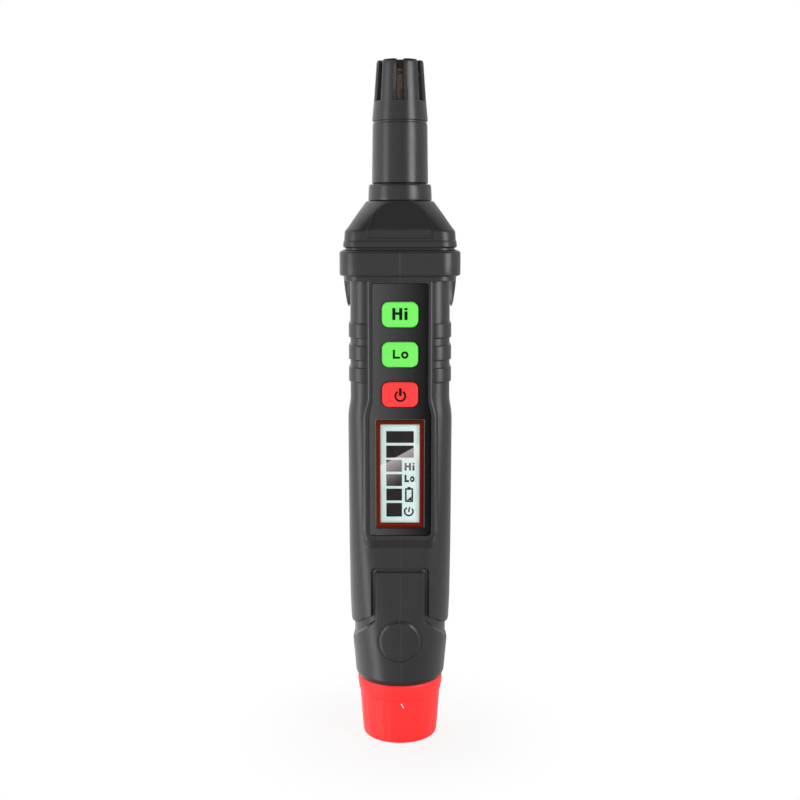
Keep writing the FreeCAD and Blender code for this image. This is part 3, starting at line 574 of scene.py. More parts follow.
def front_marks(z):
    """Where the edges of seat and plinth run at each height; in the tail the columns follow its tongue."""
    gap_half, boot_half = GAP_TONGUE[0], BOOT_TONGUE[0]
    in_plinth, in_seat = z > PLINTH_BOTTOM, z > SEAT_BOTTOM
    edge = half_width(z, PLINTH_LOWER, PLINTH_UPPER, PLINTH_JOG)
    edge = edge - np.where(in_plinth, corner_cut(z - PLINTH_BOTTOM, PLINTH_CORNER), 0)
    below = np.interp(z, (TONGUE_END, PLINTH_BOTTOM), (gap_half, PLINTH_LOWER - PLINTH_CORNER))
    edge = np.where(in_plinth, edge, below)
    seat = half_width(z, SEAT_LOWER, SEAT_UPPER, SEAT_JOG)
    seat = seat - np.where(in_seat, corner_cut(z - SEAT_BOTTOM, SEAT_CORNERS[0]), 0)
    seat = seat - np.where(z < SEAT_TOP, corner_cut(SEAT_TOP - z, SEAT_CORNERS[1]), 0)
    seat_end = SEAT_LOWER - SEAT_CORNERS[0]
    below = np.minimum(np.interp(z, (TONGUE_END, SEAT_BOTTOM), (boot_half, seat_end)), edge - 0.9)
    seat = np.where(in_seat, seat, np.where(z < TONGUE_END, boot_half, below))
    seat = np.where(z > SEAT_TOP, SEAT_UPPER - SEAT_CORNERS[1], seat)
    return seat, edge


def plinth_level(x, z, edge):
    """The plinth's surface as y: a narrow chamfer inside its edge, steep sides and a gentle bottom slope."""
    centre_z = PLINTH_BOTTOM + PLINTH_CORNER
    upright = z >= centre_z
    out_x = np.maximum(x - (PLINTH_LOWER - PLINTH_CORNER), 0)
    out_z = np.maximum(centre_z - z, 0)
    past = np.where(upright, x - edge, np.hypot(out_x, out_z) - PLINTH_CORNER)
    turn = np.where(upright, 0.0, np.arctan2(out_z, np.maximum(out_x, 1e-6)))
    run = SIDE_RUN * np.cos(turn) ** 2 + BOTTOM_RUN * np.sin(turn) ** 4
    chamfer = np.clip(past + EDGE_CHAMFER, 0, EDGE_CHAMFER) * 0.55
    return PLINTH_Y + chamfer + np.maximum(past, 0) / run


def housing_rows():
    """Heights of the grid's rows: fine where the form changes, and one on every edge."""
    parts = [stations(*stretch) for stretch in (
        (20.3, 24.0, 0.3), (24.0, 62.0, 0.28), (31.5, 43.5, 0.12), (62.0, 73.0, 0.25), (73.0, 105.5, 0.65),
        (105.5, 113.0, 0.35), (113.0, 147.0, 0.8),
    )]
    parts.append([20.45, 20.6, 22.06, 22.14, 61.95, 62.05, OPENING_LOW, OPENING_HIGH])
    parts.append([height + shift for height in (SEAT_BOTTOM, SEAT_TOP) for shift in (-0.02, 0.02)])
    parts.append([height for height, *_ in COLLAR])
    parts += [[centre + offset for offset, _ in RIB_SHAPE] for centre in RIB_CENTRES]
    key_room = KEY_HALF_Z + KEY_ROOM
    parts += [[centre - key_room, centre + key_room] for centre in KEY_CENTRES.values()]
    parts += [stations(height - 2.6, height + 2.6, 0.2) for height in SCREW_HEIGHTS]
    rows = np.unique(np.round(np.concatenate(parts), 3))
    return rows[np.concatenate(([True], np.diff(rows) > 0.012))]


def spread_columns(marks, fractions):
    """Distances along a section for every column, between its marks."""
    columns = [marks[0][:, None]]
    for start, end, steps in zip(marks[:-1], marks[1:], fractions):
        share = np.asarray(steps)[None, :]
        columns.append(start[:, None] + (end - start)[:, None] * share)
    return np.concatenate(columns, axis=1)


def even(count):
    """Equal shares of a stretch, without its start."""
    return [k / count for k in range(1, count + 1)]


def section_columns(width, depth, corner, seat, edge, foot):
    """Distances of all columns, spread between the middle, the edges, the corners and the screw band."""
    limit = width / 2 * 0.97
    seat = np.minimum(seat, limit - 3.0)
    edge = np.minimum(edge, limit - 1.2)
    foot = np.minimum(foot, limit)
    total = width - 2 * corner + depth - 2 * corner + corner * pi
    places_x = (seat - 0.3, seat + 0.3, edge - EDGE_CHAMFER, edge, foot)
    at_x = [distance_at_x(width, corner, place) for place in places_x]
    front_corner = np.maximum(width / 2 - corner + corner * pi / 2, at_x[-1] + 0.5)
    places_y = (SCREW_Y - 2.6, SCREW_Y + 2.6)
    at_y = [distance_at_y(width, depth, corner, np.full_like(width, place)) for place in places_y]
    rear_corner = np.maximum(total - (width / 2 - corner), at_y[1] + 0.3)
    marks = [np.zeros_like(width), *at_x, front_corner, *at_y, rear_corner, total]
    seam = [0.014, 0.028, 0.055]
    shares = [
        seam + [seam[-1] + (1 - seam[-1]) * share for share in even(27)], even(6), even(4), even(4), even(14),
        even(26), even(24), even(24), even(44), [0.12, 0.25, 0.4, 0.55, 0.7, 0.82, 0.9, 0.95, 0.98, 1.0],
    ]
    return spread_columns(marks, shares)


def rounded_depth(across, z, half, top, corner):
    """Depth inside a tongue that ends in a rounded top, negative outside it."""
    aside = across - (half - corner)
    above = z - (top - corner)
    outside = np.hypot(np.maximum(aside, 0), np.maximum(above, 0)) + np.minimum(np.maximum(aside, above), 0)
    return corner - outside


def near_step(value, width):
    """0 to 1 over a narrow band round zero."""
    t = np.clip(value / width + 0.5, 0, 1)
    return t * t * (3 - 2 * t)


def body_sections(z):
    """Width, depth and corner radius of the body with its collar and grip ribs."""
    rib = np.zeros_like(z)
    for centre in RIB_CENTRES:
        rib = np.maximum(rib, np.interp(z - centre, *zip(*RIB_SHAPE)))
    tables = zip(section(BODY, z, 1.0), section(COLLAR, z), RIB_SHARES)
    return [base + extra + share * rib for base, extra, share in tables]


def plinth_feet(z, edge, width, depth, corner):
    """Where the plinth's flanks run out on the body, as x at each height."""
    feet = np.full_like(z, PLAIN_FOOT)
    for i in np.nonzero((z > PLINTH_BOTTOM) & (z < COLLAR_BOTTOM))[0]:
        tries = np.linspace(edge[i] + 0.3, width[i] / 2 * 0.96, 240)
        s = distance_at_x(width[i], corner[i], tries)
        _, y, _, _ = section_point(width[i], depth[i], corner[i], s)
        above = plinth_level(tries, z[i], edge[i]) >= y
        feet[i] = max(edge[i] + 0.4, tries[np.argmax(above)] if above.any() else PLAIN_FOOT)
    return feet


def tail_shares(body, rows):
    """How far each point has left the body for the groove, and the groove for the boot."""
    across, front = np.abs(body[:, :, 0]), body[:, :, 1] < 0
    shares = []
    for arch, tongue, start, width in ((BODY_ARCH, GAP_TONGUE, 0.0, 0.3), (BOOT_ARCH, BOOT_TONGUE, 0.1, 0.5)):
        below_arch = ARCH_SLOPE * (np.interp(across, *arch) - rows)
        in_tongue = np.where(front, rounded_depth(across, rows, *tongue), -9)
        shares.append(near_step(np.maximum(below_arch, in_tongue) - start, width)[:, :, None])
    return shares


def front_details(points, rows, seat, edge):
    """Outer skin with the tail's disc, the seam, the plinth and the panel's seat worked in."""
    x, y, normal_x, normal_y = (points[:, :, k] for k in range(4))
    from_disc = np.hypot(x, rows - DISC_Z)
    disc = DISC_RISE * near_step(DISC_RADIUS - from_disc, 0.6)
    disc = disc - LINE_DEPTH * np.exp(-((from_disc - DISC_LINE) / LINE_HALF) ** 2)
    seam = SEAM_DEPTH * (1 - np.minimum(np.abs(x) / SEAM_HALF, 1))
    lift = np.where(y < 0, disc, 0) - seam
    x = x + normal_x * lift
    y = y + normal_y * lift
    on_plinth = (rows > PLINTH_START) & (rows < PLINTH_END) & (y < FRONT_Y)
    y = np.where(on_plinth, np.minimum(y, plinth_level(x, rows, edge[:, None]) + seam), y)
    in_seat = (np.abs(x) < seat[:, None]) & (rows > SEAT_BOTTOM) & (rows < SEAT_TOP) & (y < FRONT_Y)
    return x, np.where(in_seat, np.maximum(y, SEAT_Y), y)


def closed_cells(skin_grid):
    """Cells that stay closed: all but those of the display opening and of the key openings."""
    middle_x, middle_y, middle_z = np.moveaxis((skin_grid[:-1, :-1] + skin_grid[1:, 1:]) / 2, -1, 0)
    is_open = (middle_x < OPENING_HALF) & (middle_z > OPENING_LOW) & (middle_z < OPENING_HIGH)
    for centre in KEY_CENTRES.values():
        in_height = np.abs(middle_z - centre) < KEY_HALF_Z + KEY_ROOM
        is_open |= (middle_x < KEY_HALF_X + KEY_ROOM) & in_height
    return ~(is_open & (middle_y < FRONT_Y))


def housing_grids():
    """Outer and inner grids of the right half, with the cells that stay closed."""
    z = housing_rows()
    rows = z[:, None]
    seat, edge = front_marks(z)
    sections = body_sections(z)
    foot = plinth_feet(z, edge, *sections)

    def grid(width, depth, corner):
        s = section_columns(width, depth, corner, seat, edge, foot)
        return np.stack(section_point(width[:, None], depth[:, None], corner[:, None], s), axis=-1)

    def levelled(x, y):
        return np.stack((x, y, np.broadcast_to(rows, x.shape)), axis=-1)

    body = grid(*sections)
    in_gap, in_boot = tail_shares(body, rows)
    outer = body * (1 - in_gap) + grid(*section(CORE, z)) * in_gap
    outer = outer * (1 - in_boot) + grid(*section(BOOT, z, 0.4)) * in_boot
    outer = levelled(*front_details(outer, rows, seat, edge))
    hollow = grid(*section(HOLLOW, z))
    return outer, levelled(hollow[:, :, 0], hollow[:, :, 1]), closed_cells(outer)


def screw_sinks(outer):
    """Right half's outer grid with sinks for the shell screws pressed in."""
    x, y, z = np.moveaxis(outer.copy(), -1, 0)
    for height in SCREW_HEIGHTS:
        inside = near_step(SINK_RADIUS - np.hypot(y - SCREW_Y, z - height), 0.2)
        x = np.where(x > SINK_FLOOR - 1, x * (1 - inside) + np.minimum(x, SINK_FLOOR) * inside, x)
    return np.stack((x, y, z), axis=-1)


def ear(side):
    """Leaf that hangs from the collar beside the body; its front turns away to the side towards the top."""
    rows, columns = 16, 8
    front_y, rear_y, start_x = -4.9, 4.5, 14.2
    edge_share, edge_round = 0.2, 0.5
    heights = np.linspace(139.8, 149.6, rows)
    outer = np.interp(heights, (139.8, 141.0, 145.1, 148.4, 149.6), (15.95, 16.45, 17.1, 17.45, 17.45))
    inner = np.interp(heights, (139.8, 142.4, 149.6), (15.75, 14.9, 13.2))
    slope = np.interp(heights, (139.8, 144.0, 148.0), (0.2, 0.5, 0.62))
    points = []
    for is_front in (True, False):
        for z, low, high, tilt in zip(heights, inner, outer, slope):
            for share in np.linspace(0, 1, columns):
                x = low + (high - low) * share
                edge = edge_round * max(0.0, share - 1 + edge_share) / edge_share
                y = front_y + tilt * (x - start_x) + edge if is_front else rear_y - edge
                points.append((side * x, y, z))
    return points, shell_faces(np.ones((rows - 1, columns - 1), bool), columns)


def housing():
    outer, inner, keep = housing_grids()
    faces = shell_faces(keep, outer.shape[1])
    for node, side, outside in (("left_shell", -1, outer), ("right_shell", 1, screw_sinks(outer))):
        points = np.concatenate((outside.reshape(-1, 3), inner.reshape(-1, 3))) * (side, 1, 1)
        skin(node, merged((points.tolist(), faces), ear(side)), "housing_plastic", angle=radians(28))


# ---- sensor head ----

# Sections of the nose from its outer foot up to the neck and back down inside: height, width, depth, corner
NOSE_PATH = [
    (157.02, 27, 23, 4), (157.02, 32.8, 29.6, 5.2), (157.12, 33.1, 29.9, 5.3), (157.86, 33.1, 29.9, 5.3),
    (157.9, 33.8, 30.5, 5.3), (158.02, 34.2, 30.95, 5.45), (158.3, 34.5, 31.2, 5.5), (159, 34.35, 31.05, 5.5),
    (159.75, 34.2, 30.95, 5.5), (159.92, 34.05, 30.8, 5.45), (160.02, 33.8, 30.5, 5.4),
    (160.69, 33.7, 30.43, 5.4), (160.73, 33.7, 30.43, 5.4), (162.3, 33.5, 30.22, 5.4),
    (162.7, 33.4, 30.1, 5.45), (163.05, 33.1, 29.9, 5.55), (163.4, 32.5, 29.6, 5.7),
    (164.1, 31.4, 28.7, 5.95), (164.9, 30.3, 28, 6.2), (166.2, 28.6, 26.6, 6.6), (167.4, 27, 25.4, 7.1),
    (168.6, 25.4, 24.2, 7.9), (169.8, 23.7, 23, 8.7), (171, 22.1, 21.8, 9.5), (171.6, 21.2, 21.1, 10),
    (171.85, 20.7, 20.7, 10.1), (171.9, 20.3, 20.3, 10.1), (171.9, 17.8, 17.8, 8.85),
    (170.8, 17.8, 17.8, 8.85), (170.8, 15.9, 15.9, 7.9), (165.6, 15.9, 15.9, 7.9), (165.55, 19.6, 19.6, 9.7),
    (162, 27, 23, 5),
]
# Number of its sections on the outside
NOSE_OUTSIDE = 27
FACET_HEIGHTS, FACET_HALVES, FACET_LEVELS = (160.7, 163.2, 172.5), (9.9, 9.9, 6.0), (-14.6, -14.4, -9.85)

# Turned profiles as (radius, height)
RING_PROFILE = [
    (7.85, 172.02), (9.55, 172.02), (9.75, 172.1), (9.82, 172.3), (9.78, 173.5), (9.66, 176), (9.6, 176.5),
    (9.45, 176.85), (9.15, 177), (7.85, 177),
]
NECK_PROFILE = [
    (5.6, 163), (9.6, 163), (9.6, 165.4), (7.75, 165.4), (7.75, 177.2), (8.3, 177.2), (8.52, 177.28),
    (8.68, 177.5), (8.64, 180), (8.56, 185.5), (8.48, 191), (8.44, 193.6), (8.42, 194.8), (8.36, 195.2),
    (8.24, 195.3), (8.2, 195.4), (8.2, 195.94), (7, 195.96), (7, 199.5), (6.35, 199.5), (6.35, 197.6),
    (5.6, 197.6),
]
FILTER_PROFILE = [
    (0.02, 208.6), (4.6, 208.6), (4.6, 199.6), (6.9, 199.6), (6.9, 200.3), (5.8, 200.3), (5.8, 209.2),
    (5.65, 209.5), (5.1, 209.6), (5.1, 210.25), (5.8, 210.3), (5.8, 210.95), (0.02, 210.95),
]
VENT_OUTER = [
    (8.2, 196), (8.48, 196.03), (8.55, 196.15), (8.5, 196.8), (8.12, 200.9), (8.04, 201.7), (8.02, 201.9),
    (7.92, 203), (7.75, 205.4), (7.52, 208.5), (7.3, 211.5), (7.18, 213.1), (7.08, 213.6), (6.85, 213.92),
    (6.5, 214), (5.6, 214), (4.6, 214), (3.6, 214), (2.4, 214), (1.2, 214), (0.05, 214),
]
VENT_INNER = [
    (7.05, 196), (7.05, 196.1), (7.05, 196.4), (7.05, 197), (7.05, 200.3), (6, 200.4), (6, 201.9), (6, 203),
    (6, 205.4), (6, 208), (6, 210), (6, 210.6), (6, 210.9), (5.9, 211), (5.7, 211), (5.3, 211), (4.5, 211),
    (3.6, 211), (2.4, 211), (1.2, 211), (0.05, 211),
]
# Slots: how many and the steps between two, their rows, their width, and how their lips are sunk
SLOT_COUNT, LAND_STEPS = 6, 12
SLOT_FIRST, SLOT_TOP, SLOT_LAST = 6, 15, 17
SLOT_HALF, SLOT_FLARE, SLOT_CHAMFER = 0.85, 0.3, 0.75
LIP_DEPTH, LIP_DROP = 0.4, 0.12


def nose():
    """Tapering cap with a flat recessed facet in front, as one closed ring of sections."""
    z, width, depth, corner = (np.array(v) for v in zip(*NOSE_PATH))
    total = width - 2 * corner + depth - 2 * corner + corner * pi
    facet = np.minimum(np.interp(z, FACET_HEIGHTS, FACET_HALVES), width / 2 * 0.8)
    near, far = (distance_at_x(width, corner, facet + shift) for shift in (-0.04, 0.04))
    corner_end = np.maximum(width / 2 - corner + corner * pi / 2, far + 0.5)
    marks = [np.zeros_like(z), near, far, corner_end, total]
    s = spread_columns(marks, [even(14), even(1), even(16), even(30)])
    x, y, _, _ = section_point(width[:, None], depth[:, None], corner[:, None], s)
    on_outside = (np.arange(len(z)) < NOSE_OUTSIDE) & (z > FACET_HEIGHTS[0])
    in_facet = on_outside[:, None] & (np.abs(x) < facet[:, None]) & (y < 0)
    y = np.where(in_facet, np.maximum(y, np.interp(z, FACET_HEIGHTS, FACET_LEVELS)[:, None]), y)
    right = np.stack((x, y, np.broadcast_to(z[:, None], x.shape)), axis=-1)
    left = right[:, -2:0:-1] * (-1, 1, 1)
    ring = np.concatenate((right, left), axis=1)
    mesh_parts = ring.reshape(-1, 3), ring_faces(ring.shape[0], ring.shape[1])
    skin("nose_cone", mesh_parts, "housing_plastic", material=NOSE)


def neck():
    skin("neck_ring", turned(RING_PROFILE), "housing_plastic", material=NECK)
    skin("probe_neck", turned(NECK_PROFILE), "housing_plastic", material=NECK)


def vent_angles(radius):
    """Angles round one ring of the vent cap: across each slot, then along the wall to the next."""
    half = SLOT_HALF + SLOT_FLARE * max(0.0, radius - 6.2)
    edge = asin(min(0.9, half / max(radius, 1.0)))
    lip = asin(min(0.95, (half + SLOT_CHAMFER) / max(radius, 1.0)))
    angles = []
    for k in range(SLOT_COUNT):
        centre = 2 * pi * k / SLOT_COUNT
        start, end = centre + lip, centre + 2 * pi / SLOT_COUNT - lip
        angles += [centre - lip, centre - edge, centre, centre + edge, start]
        angles += [start + (end - start) * m / LAND_STEPS for m in range(1, LAND_STEPS)]
    return angles


def vent_cap():
    """Slotted cap: a shell between two turned grids, open at the slots, whose lips are sunk a little."""
    cells = 4 + LAND_STEPS
    columns = SLOT_COUNT * cells
    keep = np.ones((len(VENT_OUTER) - 1, columns), bool)
    for k in range(SLOT_COUNT):
        keep[SLOT_FIRST:SLOT_LAST, k * cells + 1:k * cells + 3] = False
    points = []
    for path in (VENT_OUTER, VENT_INNER):
        for row, (radius, height) in enumerate(path):
            in_slot = path is VENT_OUTER and SLOT_FIRST <= row <= SLOT_LAST
            for column, angle in enumerate(vent_angles(radius)):
                at_lip = in_slot and column % cells in (1, 3)
                r = radius - (LIP_DEPTH if at_lip and row < SLOT_TOP else 0.0)
                drop = LIP_DROP if at_lip and row >= SLOT_TOP - 2 else 0.0
                points.append((r * sin(angle), -r * cos(angle), height - drop))
    skin("vent_cap", (points, shell_faces(keep, columns, wrap=True)), "housing_plastic", material=NECK)


def sensor_filter():
    skin("sensor_filter", turned(FILTER_PROFILE), "sensor_filter")


# ---- face ----

PANEL_FRONT, PANEL_BACK = -15.0, -13.9
PANEL_LOW, PANEL_HIGH = 69.6, 147.25
PANEL_LOWER, PANEL_UPPER = 9.5, 8.5
KEY_FRONT, KEY_BACK, LEGEND_FRONT = -15.7, -11.8, -15.74
# Outlines behind the panel, as half width, bottom, top and corner
PANEL_WINDOW = (7.5, 71.8, 105.9, 0.3)
BEZEL_OUTER, BEZEL_INNER = (7.4, 71.9, 105.8, 0.4), (6.0, 73.6, 104.4, 0.3)
WINDOW_OUTER, GLASS_OUTER = (7.4, 71.9, 105.8, 0.3), (7.7, 71.5, 106.2, 0.2)
# Their front and back, as y
BEZEL_LEVELS, WINDOW_LEVELS, GLASS_LEVELS = (-15.25, -14.6), (-14.55, -13.95), (-13.83, -12.3)
KEYS = {
    "key_hi": ("hi_button", "key_green"),
    "key_lo": ("lo_button", "key_green"),
    "key_power": ("power_button", "key_red"),
}
SEGMENT_FRONT, SEGMENT_BACK = -13.87, -13.8
BAR_LEFT, SHORT_BAR, LONG_BAR = -4.23, 4.85, 8.46
BAR_HEIGHTS = ((98.5, 102.17), (93.87, 97.65), (89.48, 93.18), (84.98, 88.69), (80.4, 84.16), (75.29, 79.64))
LONG_BARS = 2


def panel_loop():
    """Outline of the face panel, counter-clockwise."""
    low_corner, high_corner = 1.0, 0.6
    right = arc(PANEL_LOWER - low_corner, PANEL_LOW + low_corner, low_corner, -90, 0, 8)
    right += [(PANEL_LOWER, 106.9), (PANEL_LOWER - 0.08, 107.7)]
    right += [(PANEL_UPPER + 0.12, 111.2), (PANEL_UPPER, 112.1)]
    right += arc(PANEL_UPPER - high_corner, PANEL_HIGH - high_corner, high_corner, 0, 90, 5)
    return right + [(-x, z) for x, z in reversed(right)]


def key_loop(centre, grow=0.0):
    """Outline of a key, or of the opening round it."""
    low, high = centre - KEY_HALF_Z - grow, centre + KEY_HALF_Z + grow
    return rounded_loop(KEY_HALF_X + grow, low, high, KEY_CORNER + grow)


def panel():
    loops = [panel_loop(), rounded_loop(*PANEL_WINDOW)]
    loops += [key_loop(centre, KEY_ROOM / 2) for centre in KEY_CENTRES.values()]
    skin("face_panel", slab(loops, PANEL_FRONT, PANEL_BACK, 0.12), "panel_plastic")


def stroke(points, width):
    """Outline of a bar that follows points, for strokes of a legend."""
    left, right = [], []
    count = len(points)
    for k, point in enumerate(points):
        before = Vector(points[max(k - 1, 0)])
        after = Vector(points[min(k + 1, count - 1)])
        heading = (after - before).normalized()
        side = Vector((-heading.y, heading.x)) * width / 2
        left.append((point[0] + side.x, point[1] + side.y))
        right.append((point[0] - side.x, point[1] - side.y))
    return right + left[::-1]


def bar(x, z, width, height):
    """Rectangle from its lower left corner."""
    return [(x, z), (x + width, z), (x + width, z + height), (x, z + height)]


def legend_hi(left, low, height, weight):
    """Strokes of Hi, as lists of loops."""
    body = 0.83 * height
    stem = left + body + 0.18 * height
    bars = (
        (left, low, weight, height),
        (left + body - weight, low, weight, height),
        (left + weight * 0.9, low + height * 0.43, body - 1.8 * weight, weight * 0.85),
        (stem, low, weight, height * 0.72),
        (stem, low + height * 0.82, weight, height * 0.18),
    )
    return [[bar(*sizes)] for sizes in bars]


def legend_lo(left, low, height, weight, stretch=1.0):
    """Strokes of Lo, as lists of loops."""
    foot = 0.8 * height * stretch
    radius = 0.41 * height
    middle = left + foot + 0.12 * height + radius * stretch
    rings = [
        [(middle + x * stretch, z) for x, z in arc(0, low + radius, size, 0, 345, 24)]
        for size in (radius, radius - weight)
    ]
    sole = bar(left + weight * 0.9, low, foot - 0.9 * weight, weight)
    return [[bar(left, low, weight, height)], [sole], rings]


def legend_power(x, z, radius, weight):
    """Broken ring with a bar at its top."""
    ring = stroke(arc(x, z, radius, 120, 420, 30), weight)
    return [[ring], [bar(x - 0.7 * weight, z, 1.4 * weight, radius * 1.6)]]


def raised(strokes, front, back):
    """Mesh of a legend's strokes, each given as an outline with its holes."""
    return merged(*(slab(loops, front, back) for loops in strokes))


def keys():
    """Keys with rounded rims, a flange and a stem behind, and their legends, each on its own body."""
    legends = {
        "key_hi": legend_hi(-2.3, 136.4, 3.6, 0.92),
        "key_lo": legend_lo(-2.15, 124.7, 2.7, 0.62),
        "key_power": legend_power(0.1, 113.3, 1.52, 0.6),
    }
    for node, (body, slot) in KEYS.items():
        centre = KEY_CENTRES[node]
        cap = slab([key_loop(centre)], KEY_FRONT, KEY_BACK, 0.5, 5)
        flange = slab([rounded_loop(6.4, centre - 4.7, centre + 4.7, 1.0)], -11.85, -11.0)
        stem = slab([arc(0, centre, 1.6, 0, 350, 35)], -11.2, -10.3)
        skin(node, merged(cap, flange, stem), slot, body=body)
        strokes = raised(legends[node], LEGEND_FRONT, KEY_FRONT + 0.1)
        add_piece(node + "_legend", strokes, "chip_black", body=body, material=LEGEND)


def display_strokes():
    """Bars on the left and small signs on the right of the display."""
    bars = [
        [bar(BAR_LEFT, low, LONG_BAR if k < LONG_BARS else SHORT_BAR, high - low)]
        for k, (low, high) in enumerate(BAR_HEIGHTS)
    ]
    letters = legend_hi(1.4, 89.85, 2.4, 0.64) + legend_lo(1.4, 86.2, 2.3, 0.62, 0.76)
    battery = [
        [bar(1.55, 79.93, 2.5, 4.35), bar(2.05, 80.43, 1.5, 3.35)],
        [bar(2.3, 84.25, 1.0, 0.45)],
        [[(2.15, 80.5), (3.5, 80.5), (3.5, 81.7)]],
    ]
    power = [
        [stroke(arc(2.72, 76.92, 1.3, 116, 400, 30), 0.5)],
        [stroke([(2.66, 76.75), (3.0, 78.35)], 0.46)],
    ]
    return bars + letters + battery + power


def display():
    """Bezel, window, glass and the segments on the glass."""
    rim = slab([rounded_loop(*BEZEL_OUTER), rounded_loop(*BEZEL_INNER)], *BEZEL_LEVELS, 0.3, 4)
    skin("display_bezel", rim, "bezel_red")
    skin("display_window", slab([rounded_loop(*WINDOW_OUTER)], *WINDOW_LEVELS, 0.08), "clear_window")
    skin("lcd_glass", slab([rounded_loop(*GLASS_OUTER)], *GLASS_LEVELS, 0.05), "lcd")
    segments = raised(display_strokes(), SEGMENT_FRONT, SEGMENT_BACK)
    add_piece("lcd_segments", segments, "lcd", material=SEGMENT)


# ---- battery cap ----

CAP_OUTER = [
    (0.05, 0), (4, 0), (8, 0), (11, 0), (11.35, 0.05), (11.65, 0.2), (11.87, 0.5), (11.97, 1), (12.12, 2.8),
    (12.26, 4.6), (12.4, 6.4), (12.55, 8.7), (12.7, 11), (12.83, 12.6), (12.88, 13.3), (12.92, 14.2),
    (12.95, 14.5), (13.1, 14.7), (13.25, 15.4), (13.4, 16), (13.53, 16.8), (13.62, 17.6), (13.68, 18.3),
    (13.66, 19.3), (13.62, 19.7), (13.45, 19.93), (13.2, 20),
]
CAP_INNER = [
    (12.75, 20), (12.75, 18.9), (11.95, 18.9), (11.95, 12.6), (11.2, 12.6), (11.2, 8.3), (9.6, 8.3),
    (9.6, 2.6), (0.05, 2.6),
]
FLUTE_COUNT, FLUTE_STEPS = 18, 16
FLUTE_RADIUS, FLUTE_DEPTH = 2.0, 0.25
FLUTE_FIRST, FLUTE_TOP, FLUTE_FADE = 3, 14.4, 1.2


def fluted(radius, height, share):
    """Radius at a share of the way from one flute's middle to the next."""
    offset = share * 2 * pi / FLUTE_COUNT
    centre = 13.5 + (height + 1) / 15.2 * 1.05
    across = centre * sin(offset)
    if abs(across) >= FLUTE_RADIUS:
        return radius
    floor = centre * cos(offset) - sqrt(FLUTE_RADIUS**2 - across**2)
    fade = min(1.0, max(0.0, (FLUTE_TOP - height) / FLUTE_FADE))
    return radius - FLUTE_DEPTH * max(0.0, radius - floor) * fade


def battery_cap():
    """Red screw cap with shallow flutes, a rim, a hollow inside and a small white stroke that paints a
    highlight on its front.
    """
    columns = FLUTE_COUNT * FLUTE_STEPS
    points = []
    for row, (radius, height) in enumerate(CAP_OUTER + CAP_INNER):
        has_flutes = FLUTE_FIRST <= row < len(CAP_OUTER)
        for k in range(columns):
            angle = 2 * pi * k / columns
            share = (k / FLUTE_STEPS + 0.5) % 1 - 0.5
            r = fluted(radius, height, share) if has_flutes else radius
            points.append((r * sin(angle), -r * cos(angle), height))
    mesh_parts = points, ring_faces(len(CAP_OUTER) + len(CAP_INNER), columns)
    skin("battery_cap", mesh_parts, "cap_red", body="screw_cap")
    # Painted highlight: a thin raised white stroke standing for a glint on the cap
    glint_stroke = stroke([(0.35, 13.85), (0.7, 13.4), (0.78, 13.0), (1.15, 12.5)], 0.26)
    mark = slab([glint_stroke], -13.0, -12.4, 0.04, 2)
    add_piece("cap_mark", mark, "cap_red", body="screw_cap", material=PAINTED_GLINT)


# ---- CAD nodes that keep their own mesh ----


def dress_cad_nodes():
    """Every CAD node gets its slot's procedural material."""
    slots = {part["node"]: part["material_slot"] for part in frame["record"]["subparts"]}
    for name, node in frame["nodes"].items():
        node.data.materials.clear()
        node.data.materials.append(SLOT_MATERIALS[slots[name]])


# ---- light, floor and camera ----

# Upright soft strips: name, angle from the front, height of the middle, width, height, radiance (metres)
STRIP_DISTANCE = 0.62
STRIPS = (
    ("strip_left", -61, 0.01, 0.2, 0.21, 4.6),
    ("strip_left_low", -61, -0.3, 0.2, 0.4, 3.3),
    ("strip_left_high", -61, 0.28, 0.2, 0.33, 2.4),
    ("strip_right", 50, 0.24, 0.25, 0.5, 6.2),
)
CAMERA_PLACE, CAMERA_TILT = (0, -0.3731, 0.1655), radians(81.5)
CAMERA_LENS, CAMERA_SENSOR = 53.55, 36.0
FLOOR_HALF, FLOOR_Z = 3.0, -0.0002


def area_light(name, place, target, width, height, radiance, glossy=True):
    """Rectangular light with a stated radiance, turned to a target."""
    lamp = bpy.data.lights.new(name, "AREA")
    lamp.shape = "RECTANGLE"
    lamp.size, lamp.size_y = width, height
    lamp.energy = radiance * pi * width * height
    holder = bpy.data.objects.new(name, lamp)
    bpy.context.scene.collection.objects.link(holder)
    holder.location = place
    holder.rotation_euler = (Vector(target) - holder.location).to_track_quat("-Z", "Y").to_euler()
    holder.visible_glossy = glossy
    holder.visible_camera = False


def lights():
    for name, azimuth, level, width, height, radiance in STRIPS:
        angle = radians(azimuth)
        place = (STRIP_DISTANCE * sin(angle), -STRIP_DISTANCE * cos(angle), level)
        area_light(name, place, (0, 0, level), width, height, radiance)
    area_light("front_fill", (0, -1.1, 0.3), (0, 0, 0.1), 1.0, 0.8, 0.9, glossy=False)


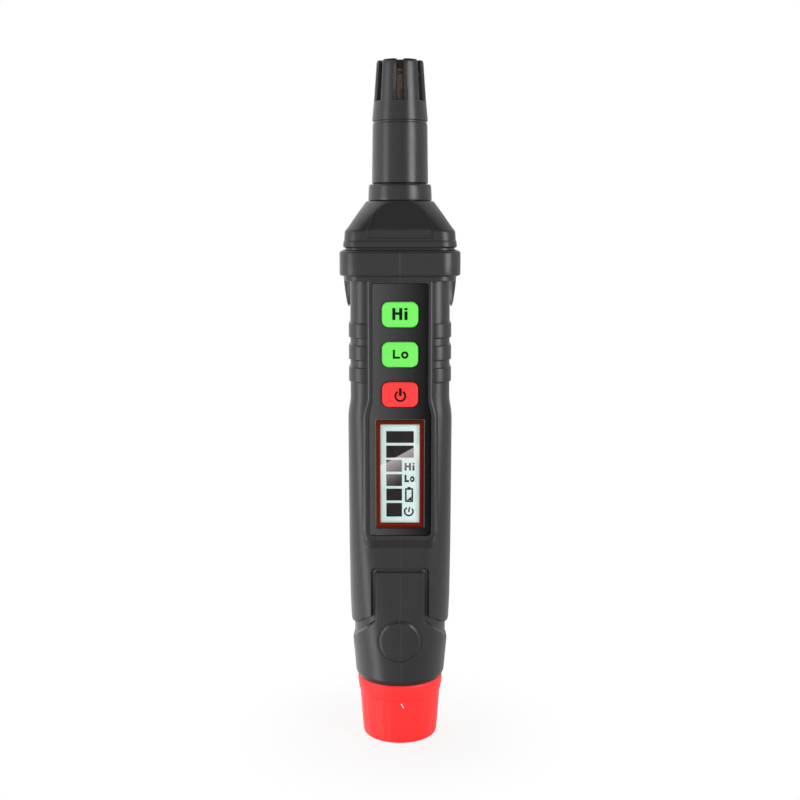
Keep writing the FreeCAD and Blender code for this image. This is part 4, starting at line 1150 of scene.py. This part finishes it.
def world():
    """White to the camera; else brightest behind and on the left, dark high up in front and far down."""
    s = Shader("studio", world=True)
    split = s.add("ShaderNodeSeparateXYZ", Vector=s.add("ShaderNodeTexCoord").outputs["Generated"])
    x, y, z = (split.outputs[name] for name in "XYZ")
    behind = s.smooth_ramp(y, -0.8, 0.25, 0.62, 1.25)
    left = s.smooth_ramp(x, -0.4, 0.4, 1.3, 0.7)
    front_top = s.product(s.smooth_ramp(z, 0.35, 0.75, 0.0, 0.9), s.smooth_ramp(y, 0.3, -0.3))
    not_top = s.smooth_ramp(front_top, 0.0, 1.0, 1.0, 0.0)
    not_bottom = s.smooth_ramp(z, -0.85, -0.5, 0.25, 1.0)
    strength = s.product(s.product(behind, left), s.product(not_top, not_bottom))
    others = s.add("ShaderNodeBackground", Strength=strength)
    seen = s.add("ShaderNodeBackground", Color=grey(1.0), Strength=1.0)
    rays = s.add("ShaderNodeLightPath")
    shown = s.mixed(rays.outputs["Is Camera Ray"], others.outputs[0], seen.outputs[0])
    bpy.context.scene.world = s.finish(shown)


def floor():
    """Plain pale floor that catches a soft contact shadow; it casts none and is left out of reflections."""
    s = Shader("floor_pale")
    matte = s.add("ShaderNodeBsdfDiffuse", Color=s.varied(grey(0.9), 0.01, 60.0))
    glow = s.add("ShaderNodeEmission", Color=grey(1.0), Strength=1.0)
    from_middle = s.fed("ShaderNodeVectorMath", {"operation": "LENGTH"}, {0: s.coordinates()})["Value"]
    white = s.smooth_ramp(from_middle, 15 * MM, 60 * MM, 0.85, 1.0)
    rays = s.add("ShaderNodeLightPath")
    seen_white = s.product(rays.outputs["Is Camera Ray"], white)
    material = s.finish(s.mixed(seen_white, matte.outputs[0], glow.outputs[0]))
    mesh = bpy.data.meshes.new("floor")
    corners = [(x * FLOOR_HALF, y * FLOOR_HALF, 0) for x, y in ((-1, -1), (1, -1), (1, 1), (-1, 1))]
    mesh.from_pydata(corners, [], [(0, 1, 2, 3)])
    mesh.materials.append(material)
    ground = bpy.data.objects.new("floor", mesh)
    ground.location.z = FLOOR_Z
    ground.visible_glossy = False
    ground.visible_shadow = False
    bpy.context.scene.collection.objects.link(ground)


def camera():
    view = bpy.data.cameras.new("camera")
    view.lens = CAMERA_LENS
    view.sensor_width = CAMERA_SENSOR
    holder = bpy.data.objects.new("camera", view)
    holder.location = CAMERA_PLACE
    holder.rotation_euler = (CAMERA_TILT, 0, 0)
    bpy.context.scene.collection.objects.link(holder)
    bpy.context.scene.camera = holder


housing()
nose()
neck()
vent_cap()
sensor_filter()
panel()
keys()
display()
battery_cap()
dress_cad_nodes()
lights()
world()
floor()
camera()
bpy.context.scene.view_settings.view_transform = "Standard"
